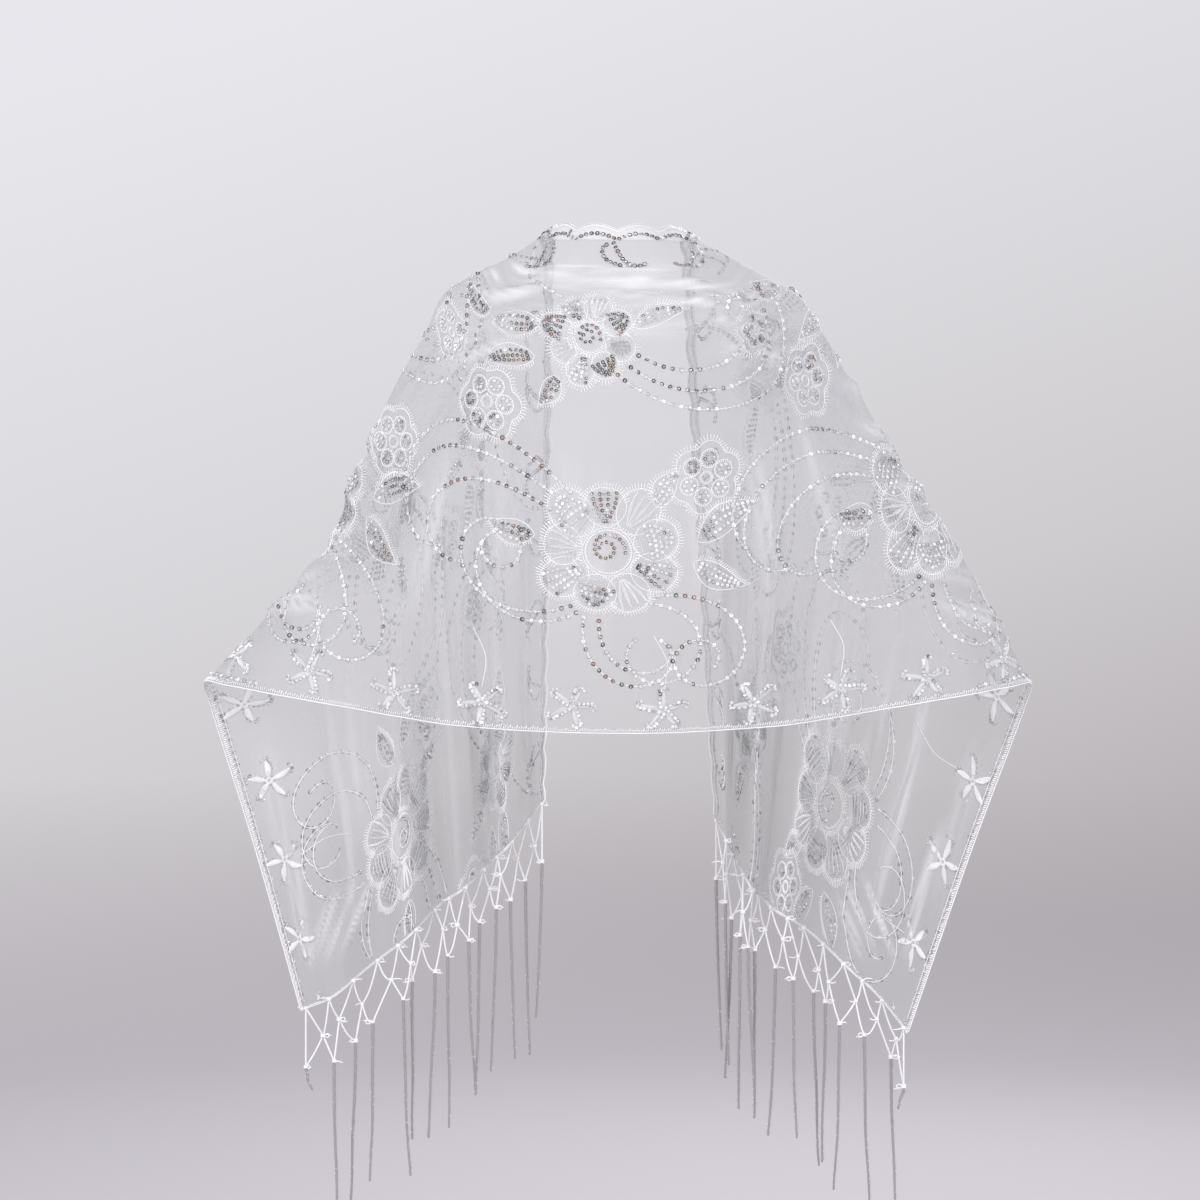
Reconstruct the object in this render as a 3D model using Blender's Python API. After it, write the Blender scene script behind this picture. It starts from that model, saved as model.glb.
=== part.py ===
"""Embroidered net shawl, worn round the shoulders and arms, kept as a hollow drape.

The cloth is one long rectangle. Its middle lies on the chest, one long edge stands round
the front of the neck, the other is the hem from wrist to wrist. Each end goes over a
shoulder and an arm and hangs behind as a tail, with a knotted net fringe on its end hem.

Metres, +Z up. The front faces -Y and "left" is -X. The origin is on the centre line, at
the height of the shoulders. On the cloth, s runs along its length from the middle, and u
runs across it from 0 at the neck edge to 1 at the hem.
"""
import math
from functools import lru_cache

import bmesh
import bpy
from mathutils import Vector

CLOTH_LENGTH = 1.80
CLOTH_WIDTH = 0.60
WALL = 0.0016
EDGE_WALL = 0.0024
# Seams are 0.3 mm wide. Where the cloth runs askew to a seam, the gap along it is longer.
SEAM_GAP = 0.0003
# Along the cloth, which leaves a tail about 0.3 mm from the stretch that it hangs from.
TAIL_GAP = 0.0005
EDGE_GAP = 0.0004
END_GAP = 0.0006
SCALLOP_BAND = 0.020
SCALLOP_PITCH = 0.046
SCALLOP_DEPTH = 0.007
HEM_BAND = 0.005
END_BAND = 0.006
SEAM_CELL = 0.004
# Parts that each cell of a side's scalloped band is split in.
SCALLOP_PARTS = 4

FRINGE_ROOTS = 14
CELLS_PER_ROOT = 2
ROOT_INSET = 0.010
LEG_ROOT = 0.0022
NET_DROP = 0.033
NET_HALF_DEPTH = 0.0013
KNOT_RADIUS = 0.0026
STRAND_LENGTH = 0.188
STRAND_STEPS = 4
STRAND_TIP = 0.55
CORNER_STRAND_LENGTH = 0.025
# How unevenly the strands hang: share of their length, lean of a step, and how fast both change.
STRAND_UNEVEN = 0.06
STRAND_LEAN = 0.002
LENGTH_RHYTHM = 2.4
LEAN_RHYTHM_X = 1.7
LEAN_RHYTHM_Y = 2.3

FRONT_CELLS = 38
FRONT_ROWS = 20
TAIL_CELLS = 12
# Line of cells where the stretch over an arm meets the tail that hangs from it.
ARM_LINE = 3
SAMPLES_PER_SPAN = 10
MIN_SPACING = 1e-9
NORMAL_STEP = 0.002

# Top line of the cloth over each shoulder and arm, from the side of the neck to the wrist.
# Columns: u, x, y, z.
RIDGE_LEFT = (
    (0.00, -0.066, 0.004, 0.072),
    (0.08, -0.111, 0.006, 0.041),
    (0.16, -0.160, 0.006, 0.016),
    (0.22, -0.191, 0.004, -0.004),
    (0.30, -0.211, 0.002, -0.047),
    (0.40, -0.242, 0.000, -0.101),
    (0.50, -0.267, -0.003, -0.156),
    (0.60, -0.288, -0.007, -0.211),
    (0.70, -0.309, -0.011, -0.266),
    (0.80, -0.352, -0.016, -0.320),
    (0.90, -0.397, -0.022, -0.375),
    (1.00, -0.451, -0.028, -0.431),
)
RIDGE_RIGHT = (
    (0.00, 0.068, 0.004, 0.069),
    (0.08, 0.118, 0.006, 0.041),
    (0.16, 0.168, 0.006, 0.013),
    (0.22, 0.200, 0.004, -0.005),
    (0.30, 0.227, 0.002, -0.047),
    (0.40, 0.256, 0.000, -0.101),
    (0.50, 0.291, -0.003, -0.156),
    (0.60, 0.324, -0.007, -0.211),
    (0.70, 0.361, -0.011, -0.266),
    (0.80, 0.392, -0.016, -0.320),
    (0.90, 0.421, -0.022, -0.375),
    (1.00, 0.452, -0.028, -0.433),
)

# Middle of the front, from the neck edge over the bust to the hem.
# Columns: u, y, z.
CENTRE = (
    (0.00, -0.066, 0.064),
    (0.08, -0.080, 0.020),
    (0.17, -0.108, -0.022),
    (0.25, -0.120, -0.068),
    (0.38, -0.134, -0.146),
    (0.50, -0.141, -0.219),
    (0.65, -0.139, -0.306),
    (0.82, -0.132, -0.392),
    (1.00, -0.124, -0.4825),
)

# Fit of the cloth over each arm, in arm radii inwards and down from the ridge on its front
# and its back, then beside the bust, on the back and at the end hem.
# Columns: u, radius, front_in, front_drop, back_in, back_drop, bust_x, bust_y, back_y, tail_y.
FIT = (
    (0.00, 0.048, 0.37, 0.08, -0.06, 0.33, 0.026, -0.062, 0.112, 0.104),
    (0.10, 0.047, 0.50, 0.44, 0.30, 0.66, 0.062, -0.080, 0.112, 0.104),
    (0.22, 0.052, 0.76, 0.52, 0.60, 0.78, 0.112, -0.100, 0.104, 0.102),
    (0.40, 0.046, 0.90, 0.44, 0.80, 0.56, 0.146, -0.116, 0.078, 0.094),
    (0.60, 0.042, 0.92, 0.42, 0.82, 0.54, 0.156, -0.120, 0.064, 0.086),
    (0.80, 0.036, 0.84, 0.50, 0.54, 0.72, 0.162, -0.117, 0.054, 0.074),
    (1.00, 0.031, 1.00, 0.10, 0.06, 0.80, 0.168, -0.111, 0.044, 0.060),
)

# Line of each end hem, before its folds, from the inner corner to the outer one.
# Columns: u, x, z.
END_LEFT = (
    (0.00, -0.081, -0.569),
    (0.15, -0.115, -0.612),
    (0.30, -0.149, -0.649),
    (0.45, -0.186, -0.678),
    (0.55, -0.211, -0.699),
    (0.68, -0.245, -0.731),
    (0.80, -0.284, -0.760),
    (0.90, -0.319, -0.787),
    (1.00, -0.355, -0.803),
)
END_RIGHT = (
    (0.00, 0.112, -0.590),
    (0.15, 0.132, -0.630),
    (0.30, 0.152, -0.668),
    (0.45, 0.172, -0.688),
    (0.55, 0.196, -0.703),
    (0.68, 0.232, -0.730),
    (0.80, 0.266, -0.762),
    (0.90, 0.296, -0.790),
    (1.00, 0.326, -0.827),
)

# Crests and troughs of the folds in each tail, as depth behind the line of the end hem.
# Columns: u, depth.
FOLDS_LEFT = (
    (0.00, 0.006),
    (0.09, 0.044),
    (0.19, -0.014),
    (0.30, 0.046),
    (0.41, -0.018),
    (0.52, 0.038),
    (0.63, -0.006),
    (0.75, 0.020),
    (0.88, -0.012),
    (1.00, 0.008),
)
FOLDS_RIGHT = (
    (0.00, 0.030),
    (0.08, -0.012),
    (0.18, 0.048),
    (0.28, -0.020),
    (0.39, 0.044),
    (0.50, -0.016),
    (0.62, 0.024),
    (0.76, -0.008),
    (0.88, 0.016),
    (1.00, -0.004),
)

# Swags of the cowl: where each runs at the middle and at the shoulders.
# Columns: u_middle, u_shoulder, half_width, height.
SWAGS = (
    (0.070, 0.045, 0.030, 0.006),
    (0.150, 0.090, 0.028, -0.006),
    (0.225, 0.140, 0.034, 0.010),
    (0.320, 0.205, 0.040, -0.007),
    (0.420, 0.280, 0.048, 0.005),
)

# Soft folds that fall from the bust and from the arms to the front hem.
# Columns: s_top, s_hem, u_top, half_width, height.
DROPS = (
    (-0.345, -0.380, 0.55, 0.024, 0.010),
    (-0.260, -0.285, 0.50, 0.026, -0.010),
    (-0.165, -0.185, 0.42, 0.028, 0.013),
    (-0.070, -0.085, 0.66, 0.026, -0.006),
    (0.020, 0.026, 0.60, 0.030, 0.006),
    (0.095, 0.110, 0.62, 0.026, -0.006),
    (0.160, 0.180, 0.40, 0.028, 0.013),
    (0.255, 0.280, 0.48, 0.028, -0.010),
    (0.350, 0.385, 0.52, 0.024, 0.011),
)

CENTRE_STATION = 6
RIDGE_STATIONS = {-1: 3, 1: 9}
# Where a tail's folds open, as shares of its length, and where it turns down from the arm.
TAIL_START = 0.08
TAIL_FULL = 0.75
TAIL_TURN = 0.45
# How far in from the ridge the front folds reach their full height, as shares of its width.
SWAG_FADE = 0.35
DROP_FADE = 0.16


def ease(value):
    """Smooth step from 0 to 1."""
    value = min(1.0, max(0.0, value))
    return value * value * (3.0 - 2.0 * value)


def read_table(rows, u):
    """Values of a table at u, on a smooth curve through its rows."""
    last = len(rows) - 2
    i = 0
    while i < last and u > rows[i + 1][0]:
        i += 1
    before = rows[max(i - 1, 0)]
    start = rows[i]
    end = rows[i + 1]
    after = rows[min(i + 2, len(rows) - 1)]
    span = end[0] - start[0]
    f = (u - start[0]) / span
    values = []
    for column in range(1, len(start)):
        slope_in = (end[column] - before[column]) / (end[0] - before[0]) * span
        slope_out = (after[column] - start[column]) / (after[0] - start[0]) * span
        bend = (2 * f ** 3 - 3 * f ** 2 + 1) * start[column] + (f ** 3 - 2 * f ** 2 + f) * slope_in
        values.append(bend + (3 * f ** 2 - 2 * f ** 3) * end[column] + (f ** 3 - f ** 2) * slope_out)
    return values


def fold_depth(rows, u):
    """Depth of the tail folds at u: a cosine between each crest and the next trough."""
    for (u0, d0), (u1, d1) in zip(rows, rows[1:]):
        if u <= u1:
            return d0 + (d1 - d0) * 0.5 * (1.0 - math.cos(math.pi * (u - u0) / (u1 - u0)))
    return rows[-1][1]


def side_stations(side, u):
    """Points of one side at u, from the bust out over the arm and down to the end hem."""
    ridge_rows = RIDGE_LEFT if side < 0 else RIDGE_RIGHT
    end_rows = END_LEFT if side < 0 else END_RIGHT
    fit = read_table(FIT, u)
    radius, front_in, front_drop, back_in, back_drop, bust_x, bust_y, back_y, tail_y = fit
    ridge = Vector(read_table(ridge_rows, u))
    arm_front = ridge + Vector((-side * front_in, -1.0, -front_drop)) * radius
    arm_back = ridge + Vector((-side * back_in, 1.0, -back_drop)) * radius
    centre_y, centre_z = read_table(CENTRE, u)
    rise = (arm_front.z - centre_z) * (bust_x / abs(arm_front.x)) ** 2
    bust = Vector((side * bust_x, bust_y, centre_z + rise))
    end_x, end_z = read_table(end_rows, u)
    end = Vector((end_x, tail_y, end_z))
    tail = arm_back.lerp(end, TAIL_TURN)
    tail.y = back_y
    return [bust, arm_front, ridge, arm_back, tail, end]


def span_point(points, i, f):
    """Point on the centripetal curve through the stations, between i and i + 1."""
    p1 = points[i]
    p2 = points[i + 1]
    p0 = points[i - 1] if i > 0 else p1 * 2.0 - p2
    p3 = points[i + 2] if i + 2 < len(points) else p2 * 2.0 - p1
    t1 = math.sqrt((p1 - p0).length)
    t2 = t1 + math.sqrt((p2 - p1).length)
    t3 = t2 + math.sqrt((p3 - p2).length)
    t = t1 + (t2 - t1) * f
    a1 = p0 * ((t1 - t) / t1) + p1 * (t / t1)
    a2 = p1 * ((t2 - t) / (t2 - t1)) + p2 * ((t - t1) / (t2 - t1))
    a3 = p2 * ((t3 - t) / (t3 - t2)) + p3 * ((t - t2) / (t3 - t2))
    b1 = a1 * ((t2 - t) / t2) + a2 * (t / t2)
    b2 = a2 * ((t3 - t) / (t3 - t1)) + a3 * ((t - t1) / (t3 - t1))
    return b1 * ((t2 - t) / (t2 - t1)) + b2 * ((t - t1) / (t2 - t1))


@lru_cache(maxsize=None)
def cloth_row(u):
    """The line of the cloth at u from end to end, with the length along it from the middle."""
    left = side_stations(-1, u)
    right = side_stations(1, u)
    centre_y, centre_z = read_table(CENTRE, u)
    stations = left[::-1] + [Vector((0.0, centre_y, centre_z))] + right
    points = []
    for i in range(len(stations) - 1):
        points += [span_point(stations, i, k / SAMPLES_PER_SPAN) for k in range(SAMPLES_PER_SPAN)]
    points.append(stations[-1])
    lengths = [0.0]
    for start, end in zip(points, points[1:]):
        lengths.append(lengths[-1] + (end - start).length)
    middle = lengths[CENTRE_STATION * SAMPLES_PER_SPAN]
    return points, [length - middle for length in lengths]


def ridge_s(side, u):
    """Where the cloth crosses the top of the shoulder or arm at u, along its length."""
    points, lengths = cloth_row(u)
    return lengths[RIDGE_STATIONS[side] * SAMPLES_PER_SPAN]


def row_point(u, length):
    """Point at a length along the line of the cloth at u."""
    points, lengths = cloth_row(u)
    i = 0
    while i < len(lengths) - 2 and length > lengths[i + 1]:
        i += 1
    span = max(lengths[i + 1] - lengths[i], MIN_SPACING)
    return points[i].lerp(points[i + 1], (length - lengths[i]) / span)


def front_relief(s, u, crown):
    """Height of the front folds. Crown is 0 at the ridge of the arm and 1 at the middle."""
    height = 0.0
    reach = 1.0 - crown
    for u_middle, u_shoulder, half_width, swag in SWAGS:
        place = u_middle + (u_shoulder - u_middle) * reach * reach
        height += swag * math.exp(-((u - place) / half_width) ** 2) * ease(crown / SWAG_FADE)
    for s_top, s_hem, u_top, half_width, drop in DROPS:
        place = s_top + (s_hem - s_top) * u
        fall = ease((u - u_top) / (1.0 - u_top))
        height += drop * math.exp(-((s - place) / half_width) ** 2) * fall * ease(crown / DROP_FADE)
    return height


@lru_cache(maxsize=None)
def cloth_point(s, u):
    """Place of the flat cloth's point (s, u) on the worn shawl."""
    side = -1 if s < 0 else 1
    ridge = ridge_s(side, u)
    if abs(s) <= abs(ridge):
        point = row_point(u, s)
        crown = 1.0 - abs(s / ridge)
        return point + Vector((0.0, -front_relief(s, u, crown), 0.0))
    points, lengths = cloth_row(u)
    end = lengths[0] if side < 0 else lengths[-1]
    hung = (abs(s) - abs(ridge)) / (CLOTH_LENGTH / 2 - abs(ridge))
    point = row_point(u, ridge + (end - ridge) * hung)
    folds = FOLDS_LEFT if side < 0 else FOLDS_RIGHT
    opened = ease((hung - TAIL_START) / (TAIL_FULL - TAIL_START))
    return point + Vector((0.0, fold_depth(folds, u) * opened, 0.0))


def cloth_normal(s, u):
    """Outward direction of the cloth at (s, u)."""
    half = CLOTH_LENGTH / 2
    s0 = max(s - NORMAL_STEP, -half)
    s1 = min(s + NORMAL_STEP, half)
    u0 = max(u - NORMAL_STEP, 0.0)
    u1 = min(u + NORMAL_STEP, 1.0)
    along = cloth_point(s1, u) - cloth_point(s0, u)
    across = cloth_point(s, u1) - cloth_point(s, u0)
    return across.cross(along).normalized()


def material(name, colour, roughness):
    """Plain material of one sub-part."""
    result = bpy.data.materials.new(name)
    result.use_nodes = True
    shader = result.node_tree.nodes["Principled BSDF"]
    shader.inputs["Base Color"].default_value = (*colour, 1.0)
    shader.inputs["Roughness"].default_value = roughness
    shader.inputs["Metallic"].default_value = 0.0
    return result


def add_object(name, mesh, finish, collection):
    """Object of a sub-part, at the origin, with its own material."""
    obj = bpy.data.objects.new(name, mesh)
    mesh.materials.append(finish)
    mesh.shade_smooth()
    collection.objects.link(obj)
    return obj


def close_object(bm, name, finish, collection):
    """Object of a closed bmesh, with its faces turned to point out."""
    bmesh.ops.recalc_face_normals(bm, faces=bm.faces)
    if bm.calc_volume(signed=True) < 0.0:
        bmesh.ops.reverse_faces(bm, faces=bm.faces)
    mesh = bpy.data.meshes.new(name)
    bm.to_mesh(mesh)
    bm.free()
    return add_object(name, mesh, finish, collection)


def spread(first, last, cells):
    """Evenly spaced values from first to last."""
    return [first + (last - first) * i / cells for i in range(cells + 1)]


def shell(name, columns, rows, place, finish, collection):
    """Closed wall from a grid: place(i, j, face) is a corner, face +1 outside and -1 inside."""
    bm = bmesh.new()
    bmesh.ops.create_grid(bm, x_segments=columns, y_segments=rows, size=1.0)
    grown = bmesh.ops.extrude_face_region(bm, geom=list(bm.faces))
    for item in grown["geom"]:
        if isinstance(item, bmesh.types.BMVert):
            item.co.z = 1.0
    for vertex in bm.verts:
        i = round((vertex.co.x + 1.0) / 2.0 * columns)
        j = round((vertex.co.y + 1.0) / 2.0 * rows)
        vertex.co = place(i, j, 1 if vertex.co.z > 0.5 else -1)
    return close_object(bm, name, finish, collection)


def wall_point(s, u, wall, face):
    """Point on one face of a wall of cloth."""
    return cloth_point(s, u) + cloth_normal(s, u) * (wall / 2 * face)


def sheet(name, across, along, wall, finish, collection):
    """Wall of cloth laid on the shawl. across lists u, and along gives the list of s at a u."""
    def place(i, j, face):
        return wall_point(along(across[j])[i], across[j], wall, face)
    columns = len(along(across[0])) - 1
    return shell(name, columns, len(across) - 1, place, finish, collection)


def fringe_roots():
    """Values of u at the roots of the fringe."""
    inset = ROOT_INSET / CLOTH_WIDTH
    return spread(inset, 1.0 - inset, FRINGE_ROOTS - 1)


def tail_across():
    """Values of u across a tail's wall, at and between the roots, inside its two edge bands."""
    inset = ROOT_INSET / CLOTH_WIDTH
    cells = spread(inset, 1.0 - inset, (FRINGE_ROOTS - 1) * CELLS_PER_ROOT)
    return [SCALLOP_BAND / CLOTH_WIDTH] + cells[1:] + [1.0 - HEM_BAND / CLOTH_WIDTH]


def end_point(s, u, face):
    """Point on a face of an end band, on the straight sides of the tail's own cells."""
    knots = [0.0] + tail_across() + [1.0]
    i = 0
    while i < len(knots) - 2 and u > knots[i + 1]:
        i += 1
    start = wall_point(s, knots[i], EDGE_WALL, face)
    end = wall_point(s, knots[i + 1], EDGE_WALL, face)
    return start.lerp(end, (u - knots[i]) / (knots[i + 1] - knots[i]))


def front_s(cells):
    """Values of s across the front, from ridge to ridge, with a short cell at each seam."""
    def along(u):
        left = ridge_s(-1, u) + SEAM_GAP / 2
        right = ridge_s(1, u) - SEAM_GAP / 2
        return [left] + spread(left + SEAM_CELL, right - SEAM_CELL, cells) + [right]
    return along


def side_s(side, first=0, last=TAIL_CELLS + 1):
    """Values of s down one side between two of its lines, from its ridge to its end band.

    A line where another stretch starts is moved back by half the gap between them."""
    def along(u):
        start = ridge_s(side, u) + side * SEAM_GAP / 2
        end = side * (CLOTH_LENGTH / 2 - END_BAND - END_GAP)
        lines = [start] + spread(start + side * SEAM_CELL, end, TAIL_CELLS)
        values = lines[first:last + 1]
        if first > 0:
            values[0] += side * TAIL_GAP / 2
        if last < len(lines) - 1:
            values[-1] -= side * TAIL_GAP / 2
        return values if side > 0 else values[::-1]
    return along


def scalloped_edge(name, along, parts, finish, collection):
    """Band of dense stitching beside a wall's neck edge, with its outer edge in scallops.

    Its points lie on the straight sides of the wall's own cells, each split in parts."""
    inner = (SCALLOP_BAND - EDGE_GAP) / CLOTH_WIDTH
    values = along(inner)

    def place(i, j, face):
        cell = min(i // parts, len(values) - 2)
        f = i / parts - cell
        s = values[cell] + (values[cell + 1] - values[cell]) * f
        outer = SCALLOP_DEPTH / CLOTH_WIDTH * (1.0 - abs(math.sin(math.pi * s / SCALLOP_PITCH)))
        u = inner if j else outer
        start = wall_point(values[cell], u, EDGE_WALL, face)
        return start.lerp(wall_point(values[cell + 1], u, EDGE_WALL, face), f)
    return shell(name, (len(values) - 1) * parts, 1, place, finish, collection)


def join_faces(bm, start, end):
    """Four-sided leg from one face to another, which it opens."""
    a = list(start.verts)
    b = list(end.verts)[::-1]
    turns = [b[i:] + b[:i] for i in range(len(b))]
    best = min(turns, key=lambda turn: sum((p.co - q.co).length for p, q in zip(a, turn)))
    bmesh.ops.delete(bm, geom=[start, end], context="FACES_ONLY")
    for i in range(len(a)):
        k = (i + 1) % len(a)
        bm.faces.new((a[i], a[k], best[k], best[i]))


def add_knot(bm, centre, across, depth, angles):
    """Small prism standing for a knot. Its side faces come back in the order of its angles."""
    front = []
    back = []
    for degrees in angles:
        angle = math.radians(degrees)
        rim = centre + across * math.cos(angle) * KNOT_RADIUS
        rim.z += math.sin(angle) * KNOT_RADIUS
        front.append(bm.verts.new(rim + depth))
        back.append(bm.verts.new(rim - depth))
    bm.faces.new(front[::-1])
    bm.faces.new(back)
    sides = []
    for i in range(len(angles)):
        k = (i + 1) % len(angles)
        sides.append(bm.faces.new((front[i], front[k], back[k], back[i])))
    return sides


def add_strand(bm, face, length, lean):
    """Loose strand that hangs from the lower face of a knot, a little thinner at its tip."""
    for step in range(STRAND_STEPS):
        grown = bmesh.ops.extrude_discrete_faces(bm, faces=[face])
        face = grown["faces"][0]
        centre = face.calc_center_median()
        taper = STRAND_TIP ** (1.0 / STRAND_STEPS)
        drop = Vector((lean[0], lean[1], -length / STRAND_STEPS))
        for vertex in face.verts:
            level = Vector((vertex.co.x, vertex.co.y, centre.z))
            vertex.co = centre + (level - centre) * taper + drop


def fringe(name, side, finish, collection):
    """End band of one tail with two rows of knotted net and a strand under each last knot."""
    end_s = side * CLOTH_LENGTH / 2
    top_s = side * (CLOTH_LENGTH / 2 - END_BAND)
    leg = LEG_ROOT / CLOTH_WIDTH
    roots = fringe_roots()
    cuts = {0.0, 1.0, *tail_across()}
    for u in roots:
        cuts |= {u - leg, u, u + leg}
    cuts = sorted(cuts)
    bm = bmesh.new()
    rings = []
    for u in cuts:
        corners = ((top_s, 1), (end_s, 1), (end_s, -1), (top_s, -1))
        rings.append([bm.verts.new(end_point(s, u, face)) for s, face in corners])
    lower = []
    for near, far in zip(rings, rings[1:]):
        for i in range(4):
            k = (i + 1) % 4
            made = bm.faces.new((near[i], near[k], far[k], far[i]))
            if i == 1:
                lower.append(made)
    bm.faces.new(rings[0][::-1])
    bm.faces.new(rings[-1])
    root_points = [cloth_point(end_s, u) for u in roots]
    root_faces = [(lower[cuts.index(u - leg)], lower[cuts.index(u)]) for u in roots]
    fall = Vector((0.0, 0.0, -NET_DROP))
    first_knots = [(a + b) / 2 + fall for a, b in zip(root_points, root_points[1:])]
    second_knots = [root_points[0] + fall * 2]
    second_knots += [(a + b) / 2 + fall for a, b in zip(first_knots, first_knots[1:])]
    second_knots.append(root_points[-1] + fall * 2)
    upper = []
    for i, place in enumerate(first_knots):
        across = root_points[i + 1] - root_points[i]
        across.z = 0.0
        across.normalize()
        depth = Vector((-across.y, across.x, 0.0)) * NET_HALF_DEPTH
        upper.append(add_knot(bm, place, across, depth, (90, 30, -30, -90, -150, 150)))
    last = FRINGE_ROOTS - 1
    for i, place in enumerate(second_knots):
        across = root_points[min(i + 1, last)] - root_points[max(i - 1, 0)]
        across.z = 0.0
        across.normalize()
        depth = Vector((-across.y, across.x, 0.0)) * NET_HALF_DEPTH
        faces = add_knot(bm, place, across, depth, (90, 18, -54, -126, 162))
        near_leg = root_faces[0][0] if i == 0 else upper[i - 1][2]
        far_leg = root_faces[last][1] if i == last else upper[i][3]
        join_faces(bm, near_leg, faces[4])
        join_faces(bm, far_leg, faces[0])
        length = STRAND_LENGTH * (1.0 + STRAND_UNEVEN * math.sin(LENGTH_RHYTHM * i + side))
        if i == last:
            length = CORNER_STRAND_LENGTH
        lean_x = STRAND_LEAN * math.sin(LEAN_RHYTHM_X * i + side)
        lean_y = STRAND_LEAN * math.cos(LEAN_RHYTHM_Y * i)
        add_strand(bm, faces[2], length, (lean_x, lean_y))
    for i, faces in enumerate(upper):
        join_faces(bm, root_faces[i][1], faces[5])
        join_faces(bm, root_faces[i + 1][0], faces[0])
    return close_object(bm, name, finish, collection)


def build():
    """The whole shawl."""
    for old in list(bpy.data.objects):
        bpy.data.objects.remove(old, do_unlink=True)
    collection = bpy.data.collections.new("lace_shawl")
    bpy.context.scene.collection.children.link(collection)

    net = material("white_net", (0.86, 0.87, 0.90), 0.65)
    stitching = material("white_stitching", (0.92, 0.92, 0.94), 0.55)
    cord = material("fringe_cord", (0.66, 0.63, 0.66), 0.60)

    top = SCALLOP_BAND / CLOTH_WIDTH
    low = 1.0 - HEM_BAND / CLOTH_WIDTH
    gap = EDGE_GAP / CLOTH_WIDTH
    front = front_s(FRONT_CELLS)
    sheet("front_drape", spread(top, low, FRONT_ROWS), front, WALL, net, collection)
    scalloped_edge("front_scalloped_edge", front, 1, stitching, collection)
    hem = [low + gap, 1.0]
    sheet("front_hem_edge", hem, front, EDGE_WALL, stitching, collection)

    for side, label in ((-1, "left"), (1, "right")):
        over_arm = side_s(side, last=ARM_LINE)
        hanging = side_s(side, first=ARM_LINE)
        sheet(label + "_back_drape", tail_across(), over_arm, WALL, net, collection)
        sheet(label + "_tail", tail_across(), hanging, WALL, net, collection)
        scalloped_edge(label + "_scalloped_edge", side_s(side), SCALLOP_PARTS, stitching, collection)
        sheet(label + "_hem_edge", hem, side_s(side), EDGE_WALL, stitching, collection)
        fringe(label + "_fringe", side, cord, collection)


build()
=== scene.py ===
import math
import random

import bmesh
import bpy
import numpy as np
from mathutils import Matrix, Vector


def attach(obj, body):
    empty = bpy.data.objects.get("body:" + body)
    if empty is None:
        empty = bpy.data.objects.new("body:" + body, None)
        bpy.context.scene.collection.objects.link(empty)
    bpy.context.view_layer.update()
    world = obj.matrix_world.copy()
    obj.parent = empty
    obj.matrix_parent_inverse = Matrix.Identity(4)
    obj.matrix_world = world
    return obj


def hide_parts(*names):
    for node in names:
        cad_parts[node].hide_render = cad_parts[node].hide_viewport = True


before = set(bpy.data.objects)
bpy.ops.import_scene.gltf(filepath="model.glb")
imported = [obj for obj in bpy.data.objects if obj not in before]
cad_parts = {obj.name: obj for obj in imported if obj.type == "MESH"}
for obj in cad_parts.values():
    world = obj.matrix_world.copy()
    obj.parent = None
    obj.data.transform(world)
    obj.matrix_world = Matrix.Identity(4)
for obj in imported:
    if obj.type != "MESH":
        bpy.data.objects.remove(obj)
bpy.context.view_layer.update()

# The cloth's own sizes, in metres. s runs along it from the middle, w across it from the neck edge.
cloth = {
    "length": 1.80,
    "width": 0.60,
    "gridColumns": 721,
    "gridRows": 241,
    "samplesPerSpan": 30,
    "netColumns": 360,
    "netRows": 120,
    "netThickness": 0.0005,
    "bandColumns": 720,
    "bandRows": 4,
    "bandThickness": 0.0004,
    "bandLift": 0.0007,
    "scallopBand": 0.020,
    "scallopPitch": 0.046,
    "scallopDepth": 0.007,
    "tailStart": 0.08,
    "tailFull": 0.75,
}
half = cloth["length"] / 2

# Top line over each shoulder and arm: u, x, y, z
ridgeLeft = np.array([
    (0.00, -0.066, 0.004, 0.072), (0.08, -0.111, 0.006, 0.041), (0.16, -0.160, 0.006, 0.016),
    (0.22, -0.191, 0.004, -0.004), (0.30, -0.211, 0.002, -0.047), (0.40, -0.242, 0.000, -0.101),
    (0.50, -0.267, -0.003, -0.156), (0.60, -0.288, -0.007, -0.211), (0.70, -0.309, -0.011, -0.266),
    (0.80, -0.352, -0.016, -0.320), (0.90, -0.397, -0.022, -0.375), (1.00, -0.451, -0.028, -0.431),
])
ridgeRight = np.array([
    (0.00, 0.068, 0.004, 0.069), (0.08, 0.118, 0.006, 0.041), (0.16, 0.168, 0.006, 0.013),
    (0.22, 0.200, 0.004, -0.005), (0.30, 0.227, 0.002, -0.047), (0.40, 0.256, 0.000, -0.101),
    (0.50, 0.291, -0.003, -0.156), (0.60, 0.324, -0.007, -0.211), (0.70, 0.361, -0.011, -0.266),
    (0.80, 0.392, -0.016, -0.320), (0.90, 0.421, -0.022, -0.375), (1.00, 0.452, -0.028, -0.433),
])
# Middle of the front: u, y, z
centreLine = np.array([
    (0.00, -0.066, 0.064), (0.08, -0.080, 0.020), (0.17, -0.108, -0.022), (0.25, -0.120, -0.068),
    (0.38, -0.134, -0.146), (0.50, -0.141, -0.219), (0.65, -0.139, -0.306), (0.82, -0.132, -0.392),
    (1.00, -0.124, -0.4825),
])
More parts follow.
